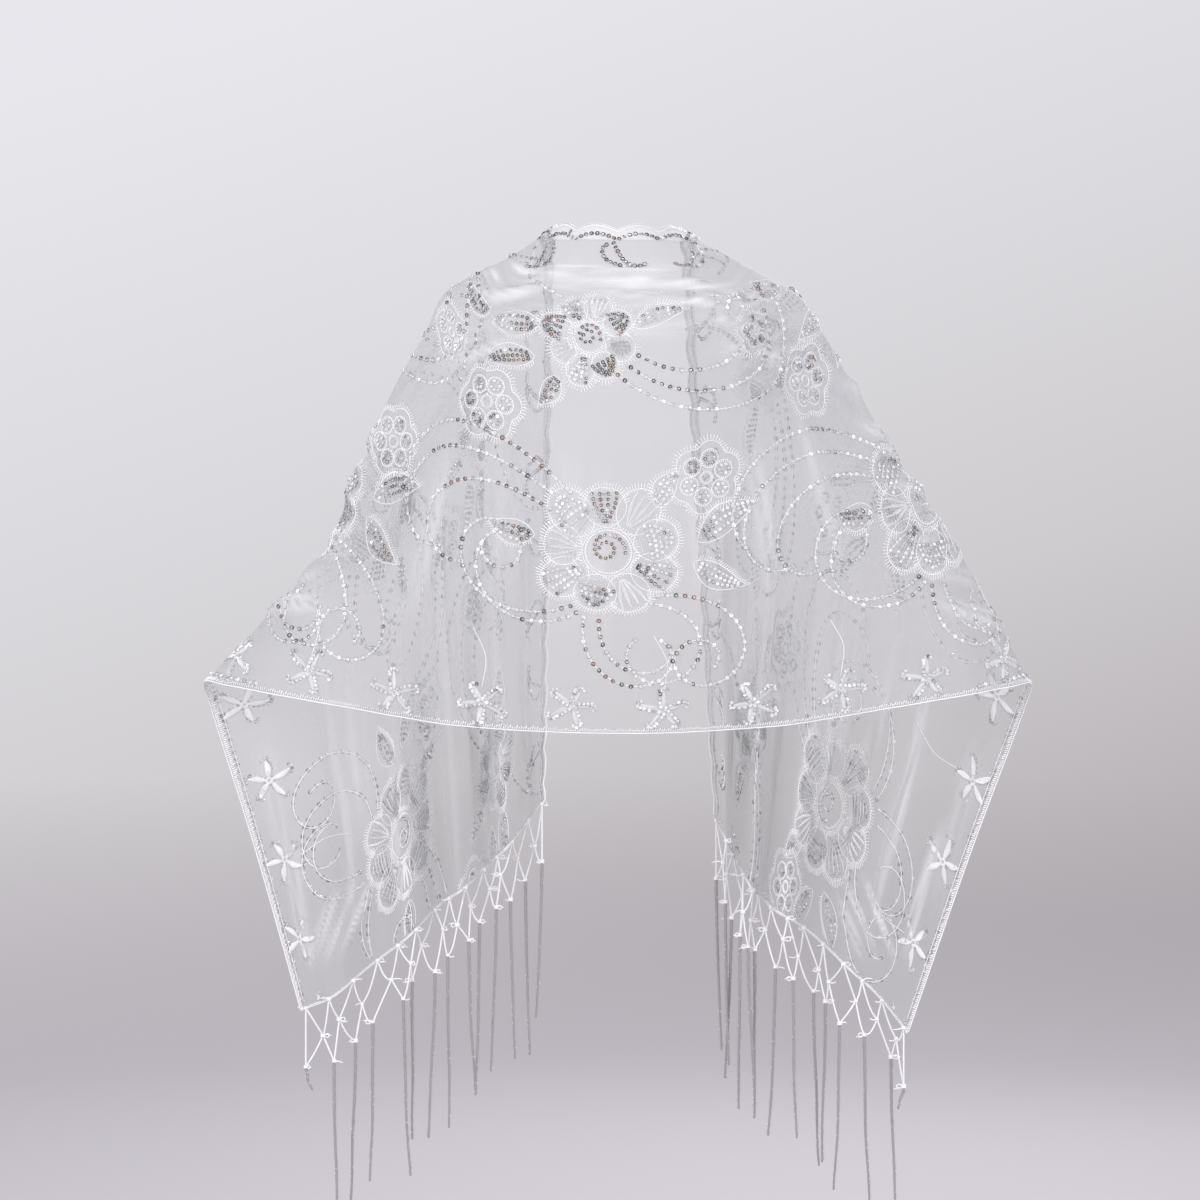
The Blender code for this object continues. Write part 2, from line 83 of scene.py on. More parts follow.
# Fit over each arm: u, radius, front in and drop, back in and drop, bust x and y, back y, tail y
armFit = np.array([
    (0.00, 0.048, 0.37, 0.08, -0.06, 0.33, 0.026, -0.062, 0.112, 0.104),
    (0.10, 0.047, 0.50, 0.44, 0.30, 0.66, 0.062, -0.080, 0.112, 0.104),
    (0.22, 0.052, 0.76, 0.52, 0.60, 0.78, 0.112, -0.100, 0.104, 0.102),
    (0.40, 0.046, 0.90, 0.44, 0.80, 0.56, 0.146, -0.116, 0.078, 0.094),
    (0.60, 0.042, 0.92, 0.42, 0.82, 0.54, 0.156, -0.120, 0.064, 0.086),
    (0.80, 0.036, 0.84, 0.50, 0.54, 0.72, 0.162, -0.117, 0.054, 0.074),
    (1.00, 0.031, 1.00, 0.10, 0.06, 0.80, 0.168, -0.111, 0.044, 0.060),
])
# End hems before their folds: u, x, z
endLeft = np.array([
    (0.00, -0.081, -0.569), (0.15, -0.115, -0.612), (0.30, -0.149, -0.649), (0.45, -0.186, -0.678),
    (0.55, -0.211, -0.699), (0.68, -0.245, -0.731), (0.80, -0.284, -0.760), (0.90, -0.319, -0.787),
    (1.00, -0.355, -0.803),
])
endRight = np.array([
    (0.00, 0.112, -0.590), (0.15, 0.132, -0.630), (0.30, 0.152, -0.668), (0.45, 0.172, -0.688),
    (0.55, 0.196, -0.703), (0.68, 0.232, -0.730), (0.80, 0.266, -0.762), (0.90, 0.296, -0.790),
    (1.00, 0.326, -0.827),
])
# Tail folds at the end hems: u, depth
foldsLeft = ((0.00, 0.006), (0.09, 0.044), (0.19, -0.014), (0.30, 0.046), (0.41, -0.018),
             (0.52, 0.038), (0.63, -0.006), (0.75, 0.020), (0.88, -0.012), (1.00, 0.008))
foldsRight = ((0.00, 0.030), (0.08, -0.012), (0.18, 0.048), (0.28, -0.020), (0.39, 0.044),
              (0.50, -0.016), (0.62, 0.024), (0.76, -0.008), (0.88, 0.016), (1.00, -0.004))
# Swags of the cowl: u at the middle, u at the shoulder, half width, height
cowlSwags = ((0.070, 0.045, 0.030, 0.006), (0.150, 0.090, 0.028, -0.006), (0.225, 0.140, 0.034, 0.010),
             (0.320, 0.205, 0.040, -0.007), (0.420, 0.280, 0.048, 0.005))
# Folds that fall to the front hem: s at the top, s at the hem, u at the top, half width, height
hemDrops = ((-0.345, -0.380, 0.55, 0.024, 0.010), (-0.260, -0.285, 0.50, 0.026, -0.010),
            (-0.165, -0.185, 0.42, 0.028, 0.013), (-0.070, -0.085, 0.66, 0.026, -0.006),
            (0.020, 0.026, 0.60, 0.030, 0.006), (0.095, 0.110, 0.62, 0.026, -0.006),
            (0.160, 0.180, 0.40, 0.028, 0.013), (0.255, 0.280, 0.48, 0.028, -0.010),
            (0.350, 0.385, 0.52, 0.024, 0.011))


def ease(value):
    value = np.clip(value, 0.0, 1.0)
    return value * value * (3.0 - 2.0 * value)


def readTable(rows, u):  # values at u, on a smooth curve through the rows
    i = int(np.clip(np.searchsorted(rows[:, 0], u) - 1, 0, len(rows) - 2))
    before, start, end, after = rows[max(i - 1, 0)], rows[i], rows[i + 1], rows[min(i + 2, len(rows) - 1)]
    span = end[0] - start[0]
    f = (u - start[0]) / span
    slopeIn = (end - before) / (end[0] - before[0]) * span
    slopeOut = (after - start) / (after[0] - start[0]) * span
    value = (2 * f ** 3 - 3 * f ** 2 + 1) * start + (f ** 3 - 2 * f ** 2 + f) * slopeIn
    return (value + (3 * f ** 2 - 2 * f ** 3) * end + (f ** 3 - f ** 2) * slopeOut)[1:]


def foldDepth(rows, u):  # a cosine between each crest and the next trough
    for (u0, d0), (u1, d1) in zip(rows, rows[1:]):
        if u <= u1:
            return d0 + (d1 - d0) * 0.5 * (1.0 - math.cos(math.pi * (u - u0) / (u1 - u0)))
    return rows[-1][1]


def sideStations(side, u):  # from the bust out over the arm and down to the end hem
    radius, frontIn, frontDrop, backIn, backDrop, bustX, bustY, backY, tailY = readTable(armFit, u)
    ridge = readTable(ridgeLeft if side < 0 else ridgeRight, u)
    armFront = ridge + np.array((-side * frontIn, -1.0, -frontDrop)) * radius
    armBack = ridge + np.array((-side * backIn, 1.0, -backDrop)) * radius
    centreZ = readTable(centreLine, u)[1]
    rise = (armFront[2] - centreZ) * (bustX / abs(armFront[0])) ** 2
    bust = np.array((side * bustX, bustY, centreZ + rise))
    endX, endZ = readTable(endLeft if side < 0 else endRight, u)
    end = np.array((endX, tailY, endZ))
    tail = armBack + (end - armBack) * 0.45
    tail[1] = backY
    return [bust, armFront, ridge, armBack, tail, end]


def spanPoints(points, i, f):  # centripetal curve between station i and the next
    p1, p2 = points[i], points[i + 1]
    p0 = points[i - 1] if i > 0 else p1 * 2.0 - p2
    p3 = points[i + 2] if i + 2 < len(points) else p2 * 2.0 - p1
    t1 = math.sqrt(np.linalg.norm(p1 - p0))
    t2 = t1 + math.sqrt(np.linalg.norm(p2 - p1))
    t3 = t2 + math.sqrt(np.linalg.norm(p3 - p2))
    t = (t1 + (t2 - t1) * f)[:, None]
    a1 = p0 * ((t1 - t) / t1) + p1 * (t / t1)
    a2 = p1 * ((t2 - t) / (t2 - t1)) + p2 * ((t - t1) / (t2 - t1))
    a3 = p2 * ((t3 - t) / (t3 - t2)) + p3 * ((t - t2) / (t3 - t2))
    b1 = a1 * ((t2 - t) / t2) + a2 * (t / t2)
    b2 = a2 * ((t3 - t) / (t3 - t1)) + a3 * ((t - t1) / (t3 - t1))
    return b1 * ((t2 - t) / (t2 - t1)) + b2 * ((t - t1) / (t2 - t1))


def clothRow(u):  # the cloth's line at u, its length from the middle, and where its ridges are
    centreY, centreZ = readTable(centreLine, u)
    left = sideStations(-1, u)
    stations = left[::-1] + [np.array((0.0, centreY, centreZ))] + sideStations(1, u)
    count = cloth["samplesPerSpan"]
    steps = np.arange(count) / count
    points = np.vstack([spanPoints(stations, i, steps) for i in range(12)] + [stations[-1][None]])
    lengths = np.r_[0.0, np.cumsum(np.linalg.norm(np.diff(points, axis=0), axis=1))]
    lengths -= lengths[6 * count]
    return points, lengths, lengths[3 * count], lengths[9 * count]


def frontRelief(s, u, crown):
    height = np.zeros_like(s)
    reach = 1.0 - crown
    for uMiddle, uShoulder, halfWidth, swag in cowlSwags:
        place = uMiddle + (uShoulder - uMiddle) * reach * reach
        height += swag * np.exp(-((u - place) / halfWidth) ** 2) * ease(crown / 0.35)
    for sTop, sHem, uTop, halfWidth, drop in hemDrops:
        place = sTop + (sHem - sTop) * u
        opened = ease((u - uTop) / (1.0 - uTop))
        height += drop * np.exp(-((s - place) / halfWidth) ** 2) * opened * ease(crown / 0.16)
    return height


def wornCloth():  # place of every point of the flat cloth, on a fine grid
    sValues = np.linspace(-half, half, cloth["gridColumns"])
    uValues = np.linspace(0.0, 1.0, cloth["gridRows"])
    grid = np.zeros((len(uValues), len(sValues), 3))
    for row, u in enumerate(uValues):
        points, lengths, leftRidge, rightRidge = clothRow(u)
        ridge = np.where(sValues < 0, leftRidge, rightRidge)
        end = np.where(sValues < 0, lengths[0], lengths[-1])
        hung = (np.abs(sValues) - np.abs(ridge)) / (half - np.abs(ridge))
        onFront = hung <= 0.0
        along = np.where(onFront, sValues, ridge + (end - ridge) * hung)
        for axis in range(3):
            grid[row, :, axis] = np.interp(along, lengths, points[:, axis])
        crown = 1.0 - np.abs(sValues / ridge)
        grid[row, :, 1] -= np.where(onFront, frontRelief(sValues, u, crown), 0.0)
        depth = np.where(sValues < 0, foldDepth(foldsLeft, u), foldDepth(foldsRight, u))
        opened = ease((hung - cloth["tailStart"]) / (cloth["tailFull"] - cloth["tailStart"]))
        grid[row, :, 1] += np.where(onFront, 0.0, depth * opened)
    return sValues, uValues, grid


def gridNormals(grid):
    normals = np.cross(np.gradient(grid, axis=0), np.gradient(grid, axis=1))
    return normals / np.linalg.norm(normals, axis=2, keepdims=True)


# Fine creases, laid in families: how many, where the first one starts and ends (s, w),
# # where the last one does, half width, height, and how far a crease bows
creaseFamilies = (
    (9, ((-0.050, 0.050), (0.215, 0.062)), ((-0.020, 0.090), (0.250, 0.120)), 0.0042, 0.0046, 0.010),
    (6, ((0.000, 0.052), (-0.200, 0.050)), ((-0.020, 0.078), (-0.240, 0.110)), 0.0042, 0.0042, 0.008),
    (9, ((0.050, 0.062), (0.235, 0.100)), ((0.085, 0.160), (0.285, 0.225)), 0.0042, 0.0042, 0.012),
    (7, ((-0.060, 0.066), (-0.220, 0.100)), ((-0.070, 0.155), (-0.275, 0.215)), 0.0048, 0.0037, 0.012),
    (7, ((-0.130, 0.050), (0.120, 0.046)), ((-0.140, 0.135), (0.150, 0.128)), 0.0046, 0.0042, 0.020),
    (12, ((-0.290, 0.290), (-0.405, 0.345)), ((-0.320, 0.480), (-0.480, 0.545)), 0.0048, 0.0055, 0.010),
    (8, ((0.280, 0.230), (0.400, 0.300)), ((0.340, 0.460), (0.485, 0.545)), 0.0050, 0.0045, 0.010),
    (7, ((-0.200, 0.250), (-0.250, 0.490)), ((0.200, 0.240), (0.260, 0.510)), 0.0075, 0.0037, 0.010),
    (6, ((-0.300, 0.150), (-0.330, 0.300)), ((-0.380, 0.180), (-0.440, 0.340)), 0.0060, 0.0042, 0.008),
    (6, ((0.300, 0.150), (0.330, 0.300)), ((0.380, 0.180), (0.440, 0.340)), 0.0060, 0.0042, 0.008),
    (10, ((-0.420, 0.080), (-0.720, 0.050)), ((-0.520, 0.555), (-0.780, 0.565)), 0.0060, 0.0046, 0.010),
    (10, ((0.420, 0.070), (0.730, 0.050)), ((0.520, 0.545), (0.790, 0.565)), 0.0060, 0.0046, 0.010),
    (8, ((-0.620, 0.070), (-0.885, 0.050)), ((-0.640, 0.540), (-0.885, 0.560)), 0.0055, 0.0045, 0.008),
    (8, ((0.620, 0.060), (0.885, 0.050)), ((0.640, 0.550), (0.885, 0.560)), 0.0055, 0.0045, 0.008),
    (3, ((-0.770, 0.490), (-0.868, 0.575)), ((-0.800, 0.440), (-0.880, 0.530)), 0.0045, 0.0050, 0.004),
    (3, ((0.800, 0.440), (0.872, 0.575)), ((0.830, 0.400), (0.880, 0.520)), 0.0045, 0.0050, 0.004),
)


def fineCreases(sValues, uValues):
    chance = random.Random(11)
    s, w = np.meshgrid(sValues, uValues * cloth["width"])
    height = np.zeros_like(s)
    for count, first, last, halfWidth, tall, bow in creaseFamilies:
        for i in range(count):
            f = (i + chance.uniform(-0.35, 0.35)) / (count - 1)
            start, end = [np.array(a) * (1 - f) + np.array(b) * f for a, b in zip(first, last)]
            shift = chance.uniform(-0.12, 0.12)
            start, end = start + (end - start) * shift, end + (end - start) * chance.uniform(-0.18, 0.10)
            run = end - start
            size = float(np.hypot(*run))
            along = ((s - start[0]) * run[0] + (w - start[1]) * run[1]) / size ** 2
            aside = ((w - start[1]) * run[0] - (s - start[0]) * run[1]) / size
            aside = aside - bow * chance.uniform(-1.0, 1.0) * np.sin(math.pi * np.clip(along, 0, 1))
            width = halfWidth * chance.uniform(0.8, 1.5)
            swell = ease(along / 0.35) * ease((1.0 - along) / 0.45)
            rise = tall * chance.uniform(0.55, 1.15) * (1 if chance.random() < 0.7 else -1)
            height += rise * swell * np.exp(-(aside / width) ** 2)
    edge = ease(w / 0.03) * ease((cloth["width"] - w) / 0.02) * ease((half - np.abs(s)) / 0.02)
    return height * edge


sValues, uValues, grid = wornCloth()
creases = fineCreases(sValues, uValues)
grid = grid + gridNormals(grid) * creases[:, :, None]
normals = gridNormals(grid)
# crease steepness: it makes the net denser, and it also paints a highlight along the creases
slopeW, slopeS = np.gradient(creases, uValues * cloth["width"], sValues)
gatherAndHighlight = np.clip(np.hypot(slopeW, slopeS) * 0.9, 0.0, 1.0)
print("cloth laid out")


def readGrid(values, flat):  # values of the grid at flat points (s, w)
    column = np.clip((flat[:, 0] + half) / cloth["length"], 0.0, 1.0) * (cloth["gridColumns"] - 1)
    row = np.clip(flat[:, 1] / cloth["width"], 0.0, 1.0) * (cloth["gridRows"] - 1)
    i = np.minimum(column.astype(int), cloth["gridColumns"] - 2)
    j = np.minimum(row.astype(int), cloth["gridRows"] - 2)
    f, g = column - i, row - j
    if values.ndim == 3:
        f, g = f[:, None], g[:, None]
    top = values[j, i] * (1 - f) + values[j, i + 1] * f
    low = values[j + 1, i] * (1 - f) + values[j + 1, i + 1] * f
    return top * (1 - g) + low * g


def onCloth(flat, lift=0.0):  # flat points (s, w) laid on the worn cloth
    flat = np.atleast_2d(np.asarray(flat, dtype=float))
    return readGrid(grid, flat) + readGrid(normals, flat) * lift


def scallopEdge(s):  # w of the scalloped edge at s
    return cloth["scallopDepth"] * (1.0 - np.abs(np.sin(math.pi * s / cloth["scallopPitch"])))


def addPiece(name, mesh, finish, slot):
    piece = bpy.data.objects.new(name, mesh)
    bpy.context.scene.collection.objects.link(piece)
    mesh.materials.clear()
    mesh.materials.append(finish)
    mesh.polygons.foreach_set("use_smooth", [True] * len(mesh.polygons))
    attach(piece, "root")
    return piece


def newMaterial(name, colour, roughness, metallic=0.0):
    finish = bpy.data.materials.new(name)
    finish.use_nodes = True
    nodes, links = finish.node_tree.nodes, finish.node_tree.links
    shader = nodes["Principled BSDF"]
    shader.inputs["Base Color"].default_value = (*colour, 1.0)
    shader.inputs["Roughness"].default_value = roughness
    shader.inputs["Metallic"].default_value = metallic

    def join(start, outlet, end, inlet):
        links.new(start.outputs[outlet], end.inputs[inlet])
    return finish, nodes, join, shader


def addNode(nodes, kind, **values):
    node = nodes.new(kind)
    for name, value in values.items():
        if hasattr(node, name):
            setattr(node, name, value)
        else:
            node.inputs[name.replace("_", " ")].default_value = value
    return node


def colourRamp(nodes, stops):
    ramp = nodes.new("ShaderNodeValToRGB")
    ramp.color_ramp.elements[0].position = stops[0][0]
    ramp.color_ramp.elements[0].color = (*stops[0][1], 1.0)
    ramp.color_ramp.elements[1].position = stops[-1][0]
    ramp.color_ramp.elements[1].color = (*stops[-1][1], 1.0)
    for place, colour in stops[1:-1]:
        ramp.color_ramp.elements.new(place).color = (*colour, 1.0)
    return ramp


# Materials
# the gather colour is a painted highlight along the creases, over the denser thread there
netLook = {"colour": (0.57, 0.57, 0.59), "roughness": 0.55, "sheen": 0.15, "meshSize": 0.0012,
           "openAlpha": 0.10, "threadAlpha": 0.25, "gatherAlpha": 0.45, "gatherHighlightColour": (0.93, 0.93, 0.95)}
bandLook = dict(netLook, colour=(0.94, 0.94, 0.96), openAlpha=0.18, threadAlpha=0.62, gatherAlpha=0.2,
                meshSize=0.0016)
# Thread and cord: colour, roughness, sheen, ribs
threadLook = ((0.96, 0.96, 0.98), 0.42, 0.35, 900.0)
cordLook = ((0.37, 0.35, 0.365), 0.60, 0.2, 700.0)


def netMaterial(name, look):
    finish, nodes, join, shader = newMaterial(name, look["colour"], look["roughness"])
    shader.inputs["Sheen Weight"].default_value = look["sheen"]
    shader.inputs["Sheen Roughness"].default_value = 0.4
    uv = addNode(nodes, "ShaderNodeUVMap", uv_map="flat")
    waves = []
    for turn in (30.0, -30.0):  # two crossed sets of threads
        laid = addNode(nodes, "ShaderNodeMapping", Rotation=(0.0, 0.0, math.radians(turn)))
        join(uv, "UV", laid, "Vector")
        wave = addNode(nodes, "ShaderNodeTexWave", wave_type="BANDS", bands_direction="X",
                       Scale=0.314 / look["meshSize"])
        join(laid, "Vector", wave, "Vector")
        waves.append(wave)
    mesh = addNode(nodes, "ShaderNodeMath", operation="MAXIMUM")
    join(waves[0], "Fac", mesh, 0)
    join(waves[1], "Fac", mesh, 1)
    thread = addNode(nodes, "ShaderNodeMapRange", From_Min=0.70, From_Max=0.98,
                     To_Min=look["openAlpha"], To_Max=look["threadAlpha"])
    join(mesh, 0, thread, "Value")
    gatherAndHighlightAttr = addNode(nodes, "ShaderNodeAttribute", attribute_name="gatherAndHighlight")
    more = addNode(nodes, "ShaderNodeMath", operation="MULTIPLY_ADD", use_clamp=True)
    more.inputs[1].default_value = look["gatherAlpha"]
    join(gatherAndHighlightAttr, "Fac", more, 0)
    join(thread, "Result", more, 2)
    join(more, 0, shader, "Alpha")
    cloudy = addNode(nodes, "ShaderNodeTexNoise", Scale=9.0, Detail=1.0)
    join(uv, "UV", cloudy, "Vector")
    tone = colourRamp(nodes, ((0.3, tuple(c * 0.96 for c in look["colour"])), (0.7, look["colour"])))
    join(cloudy, "Fac", tone, "Fac")
    gatherHighlight = addNode(nodes, "ShaderNodeMix", data_type="RGBA")  # gathered net looks whiter: partly its denser thread, partly a painted highlight along the creases
    join(gatherAndHighlightAttr, "Fac", gatherHighlight, 0)
    join(tone, "Color", gatherHighlight, 6)
    gatherHighlight.inputs[7].default_value = (*look["gatherHighlightColour"], 1.0)
    join(gatherHighlight, 2, shader, "Base Color")
    bump = addNode(nodes, "ShaderNodeBump", Strength=0.25, Distance=0.0002)
    join(waves[0], "Fac", bump, "Height")
    join(bump, "Normal", shader, "Normal")
    return finish


def threadMaterial(name, colour, roughness, shine, ribs):
    finish, nodes, join, shader = newMaterial(name, colour, roughness)
    shader.inputs["Sheen Weight"].default_value = shine
    place = addNode(nodes, "ShaderNodeTexCoord")
    grain = addNode(nodes, "ShaderNodeTexNoise", Scale=ribs, Detail=2.0)
    join(place, "Object", grain, "Vector")
    tone = colourRamp(nodes, ((0.3, tuple(c * 0.86 for c in colour)), (0.65, colour)))
    join(grain, "Fac", tone, "Fac")
    join(tone, "Color", shader, "Base Color")
    bump = addNode(nodes, "ShaderNodeBump", Strength=0.4, Distance=0.0003)
    join(grain, "Fac", bump, "Height")
    join(bump, "Normal", shader, "Normal")
    return finish


def sequinMaterial(name, look):
    finish, nodes, join, shader = newMaterial(name, look["rim"], look["roughness"], look["metallic"])
    shader.inputs["Coat Weight"].default_value = 0.5
    shader.inputs["Coat Roughness"].default_value = 0.05
    place = addNode(nodes, "ShaderNodeTexCoord")
    patch = addNode(nodes, "ShaderNodeTexNoise", Scale=140.0, Detail=1.0)
    join(place, "Object", patch, "Vector")
    rim = addNode(nodes, "ShaderNodeAttribute", attribute_name="rim")
    # each ring is painted lighter round its hole and darker at its rim: a painted reflection
    radial = colourRamp(nodes, ((0.30, look["middle"]), (0.75, look["rim"])))
    join(rim, "Fac", radial, "Fac")
    mottle = addNode(nodes, "ShaderNodeMapRange", From_Min=0.3, From_Max=0.7, To_Min=0.6, To_Max=1.25)
    join(patch, "Fac", mottle, "Value")
    toned = addNode(nodes, "ShaderNodeVectorMath", operation="SCALE")
    join(radial, "Color", toned, 0)
    join(mottle, "Result", toned, "Scale")
    join(toned, "Vector", shader, "Base Color")
    return finish


netFinish = netMaterial("whiteNet", netLook)
bandFinish = netMaterial("denseNet", bandLook)
threadFinish = threadMaterial("whiteThread", *threadLook)
cordFinish = threadMaterial("fringeCord", *cordLook)
# Rings: colours of the middle and the rim, roughness, metal, and the share of each kind on the arms,
# # in the middle of the front, near the neck and on the tails, in that order. All these colours are painted
# # reflections: the white kind is a painted highlight, and the pale, dark, copper and olive kinds and the
# dark
# # silver rim stand for what the silver rings mirror. The shares paint brighter reflections on the arms and
# # darker ones in the middle of the front and near the neck.
sequinTraits = ("middle", "rim", "roughness", "metallic", "paintedLit", "paintedDim", "paintedDimmer", "tail")
sequinLooks = {
    "paintedGlint": ((1.0, 1.0, 1.0), (0.95, 0.95, 0.97), 0.12, 0.0, 0.52, 0.26, 0.12, 0.30),
    "paleReflection": ((0.96, 0.96, 0.97), (0.66, 0.665, 0.69), 0.16, 0.3, 0.30, 0.18, 0.12, 0.34),
    "silver": ((0.85, 0.86, 0.88), (0.27, 0.27, 0.29), 0.15, 0.9, 0.14, 0.13, 0.20, 0.30),
    "darkReflection": ((0.50, 0.50, 0.50), (0.035, 0.035, 0.04), 0.15, 0.9, 0.02, 0.13, 0.24, 0.06),
    "copperReflection": ((0.66, 0.52, 0.46), (0.24, 0.095, 0.06), 0.15, 0.9, 0.01, 0.17, 0.16, 0.0),
    "oliveReflection": ((0.58, 0.59, 0.47), (0.095, 0.11, 0.04), 0.15, 0.9, 0.01, 0.13, 0.16, 0.0),
}
print("materials made")


# The net and its dense scalloped band
def clothSheet(name, columns, rows, flatPoint, finish, slot, thickness, offset):
    bm = bmesh.new()
    bmesh.ops.create_grid(bm, x_segments=columns, y_segments=rows, size=1.0, calc_uvs=True)
    mesh = bpy.data.meshes.new(name)
    bm.to_mesh(mesh)
    bm.free()
    coords = np.zeros(len(mesh.vertices) * 3)
    mesh.vertices.foreach_get("co", coords)
    coords = coords.reshape(-1, 3)
    flat = flatPoint((coords[:, 0] + 1.0) / 2.0, (coords[:, 1] + 1.0) / 2.0)
    mesh.vertices.foreach_set("co", onCloth(flat, offset).ravel())
    attribute = mesh.attributes.new("gatherAndHighlight", "FLOAT", "POINT")
    attribute.data.foreach_set("value", readGrid(gatherAndHighlight, flat).astype(np.float32))
    while mesh.uv_layers:
        mesh.uv_layers.remove(mesh.uv_layers[0])
    layer = mesh.uv_layers.new(name="flat")
    corner = np.zeros(len(mesh.loops), dtype=np.int32)
    mesh.loops.foreach_get("vertex_index", corner)
    layer.data.foreach_set("uv", flat[corner].astype(np.float32).ravel())
    mesh.flip_normals()
    mesh.update()
    piece = addPiece(name, mesh, finish, slot)
    wall = piece.modifiers.new("wall", "SOLIDIFY")
    wall.thickness = thickness
    wall.offset = 0.0
    wall.use_quality_normals = True
    return piece


def netPoint(f, g):
    s = (f - 0.5) * cloth["length"]
    w = g * cloth["width"]
    band = cloth["scallopBand"]
    edge = scallopEdge(s)
    w = np.where(w < band, edge + (band - edge) * w / band, w)
    return np.c_[s, w]


def bandPoint(f, g):
    s = (f - 0.5) * cloth["length"]
    edge = scallopEdge(s)
    return np.c_[s, edge + (cloth["scallopBand"] - edge) * g]


netCloth = clothSheet("netCloth", cloth["netColumns"], cloth["netRows"], netPoint, netFinish, "net",
                      cloth["netThickness"], 0.0)
scallopedBand = clothSheet("scallopedBand", cloth["bandColumns"], cloth["bandRows"], bandPoint, bandFinish,
                           "stitching", cloth["bandThickness"], cloth["bandLift"])
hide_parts("front_drape", "left_back_drape", "left_tail", "right_back_drape", "right_tail")
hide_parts("front_scalloped_edge", "left_scalloped_edge", "right_scalloped_edge")
print("net made")


# Tools for thread, stitches and sequins
def threadPiece(name, lines, radius, finish, slot):  # lines of places, each a round thread
    curve = bpy.data.curves.new(name, "CURVE")
    curve.dimensions = "3D"
    curve.bevel_depth = radius
    curve.bevel_resolution = 0
    curve.use_fill_caps = True
    for line in lines:
        spline = curve.splines.new("POLY")
        spline.points.add(len(line) - 1)
        spline.points.foreach_set("co", np.c_[line[:, :3], np.ones(len(line))].ravel())
        if line.shape[1] > 3:
            spline.points.foreach_set("radius", line[:, 3])
    holder = bpy.data.objects.new(name + "Curve", curve)
    bpy.context.scene.collection.objects.link(holder)
    mesh = bpy.data.meshes.new_from_object(holder.evaluated_get(bpy.context.evaluated_depsgraph_get()))
    bpy.data.objects.remove(holder)
    bpy.data.curves.remove(curve)
    bm = bmesh.new()
    bm.from_mesh(mesh)
    bmesh.ops.remove_doubles(bm, verts=bm.verts, dist=0.000002)
    bmesh.ops.recalc_face_normals(bm, faces=bm.faces)
    bm.to_mesh(mesh)
    bm.free()
    mesh.name = name
    return addPiece(name, mesh, finish, slot)


def unit(vectors):
    return vectors / np.maximum(np.linalg.norm(vectors, axis=1, keepdims=True), 1e-12)


def manyCopies(name, template, centres, axes, finish, slot, radial=False):  # one mesh of a small shape
    coords = np.array([v.co[:] for v in template.verts])
    order = np.lexsort(coords.T)  # corners and faces in the same order in every run
    rank = np.argsort(order)
    coords = coords[order]
    faces = sorted([int(rank[v.index]) for v in face.verts] for face in template.faces)
    sizes = np.array([len(face) for face in faces])
    loops = np.concatenate(faces)
    count = len(centres)
    places = centres[:, None, :] + np.einsum("vk,nkj->nvj", coords, axes)
    mesh = bpy.data.meshes.new(name)
    mesh.vertices.add(count * len(coords))
    mesh.vertices.foreach_set("co", places.ravel())
    mesh.loops.add(count * len(loops))
    corners = loops[None, :] + np.arange(count)[:, None] * len(coords)
    mesh.loops.foreach_set("vertex_index", corners.ravel())
    mesh.polygons.add(count * len(faces))
    starts = np.r_[0, np.cumsum(np.tile(sizes, count))[:-1]]
    mesh.polygons.foreach_set("loop_start", starts)
    mesh.update(calc_edges=True)
    mesh.validate()
    if radial:
        attribute = mesh.attributes.new("rim", "FLOAT", "POINT")
        outward = np.hypot(coords[:, 0], coords[:, 1]) * 2.0
        attribute.data.foreach_set("value", np.tile(outward, count).astype(np.float32))
    template.free()
    return addPiece(name, mesh, finish, slot)


def stitchTemplate(rings):  # a three-sided spindle one unit long along x
    bm = bmesh.new()
    bmesh.ops.create_uvsphere(bm, u_segments=3, v_segments=rings, radius=0.5)
    for vertex in bm.verts:
        vertex.co = Vector((vertex.co.z, vertex.co.x, vertex.co.y))
    bmesh.ops.recalc_face_normals(bm, faces=bm.faces)
    bm.verts.index_update()
    return bm


def sequinTemplate(sides=7, outer=0.5, hole=0.13):  # a cupped disc with a hole, one unit across
    bm = bmesh.new()
    bmesh.ops.create_circle(bm, segments=sides, radius=hole)
    rim = [edge for edge in bm.edges]
    edges = rim
    for widen, rise in ((outer / hole, 0.10), (hole / outer, -0.16)):  # out over the top, back in underneath
        made = bmesh.ops.extrude_edge_only(bm, edges=edges)["geom"]
        verts = [item for item in made if isinstance(item, bmesh.types.BMVert)]
        edges = [item for item in made if isinstance(item, bmesh.types.BMEdge)]
        edges = [edge for edge in edges if all(v in verts for v in edge.verts)]
        bmesh.ops.scale(bm, verts=verts, vec=Vector((widen, widen, 1.0)))
        bmesh.ops.translate(bm, verts=verts, vec=Vector((0.0, 0.0, rise)))
    bmesh.ops.bridge_loops(bm, edges=rim + edges)
    bmesh.ops.recalc_face_normals(bm, faces=bm.faces)
    bm.verts.index_update()
    return bm


def resample(points, step):  # even steps along a flat line
    points = np.asarray(points, dtype=float)
    lengths = np.r_[0.0, np.cumsum(np.linalg.norm(np.diff(points, axis=0), axis=1))]
    count = max(1, int(round(lengths[-1] / step)))
    at = np.linspace(0.0, lengths[-1], count + 1)
    return np.c_[np.interp(at, lengths, points[:, 0]), np.interp(at, lengths, points[:, 1])]


def headings(points):
    run = np.gradient(points, axis=0)
    return run / np.maximum(np.linalg.norm(run, axis=1, keepdims=True), 1e-9)


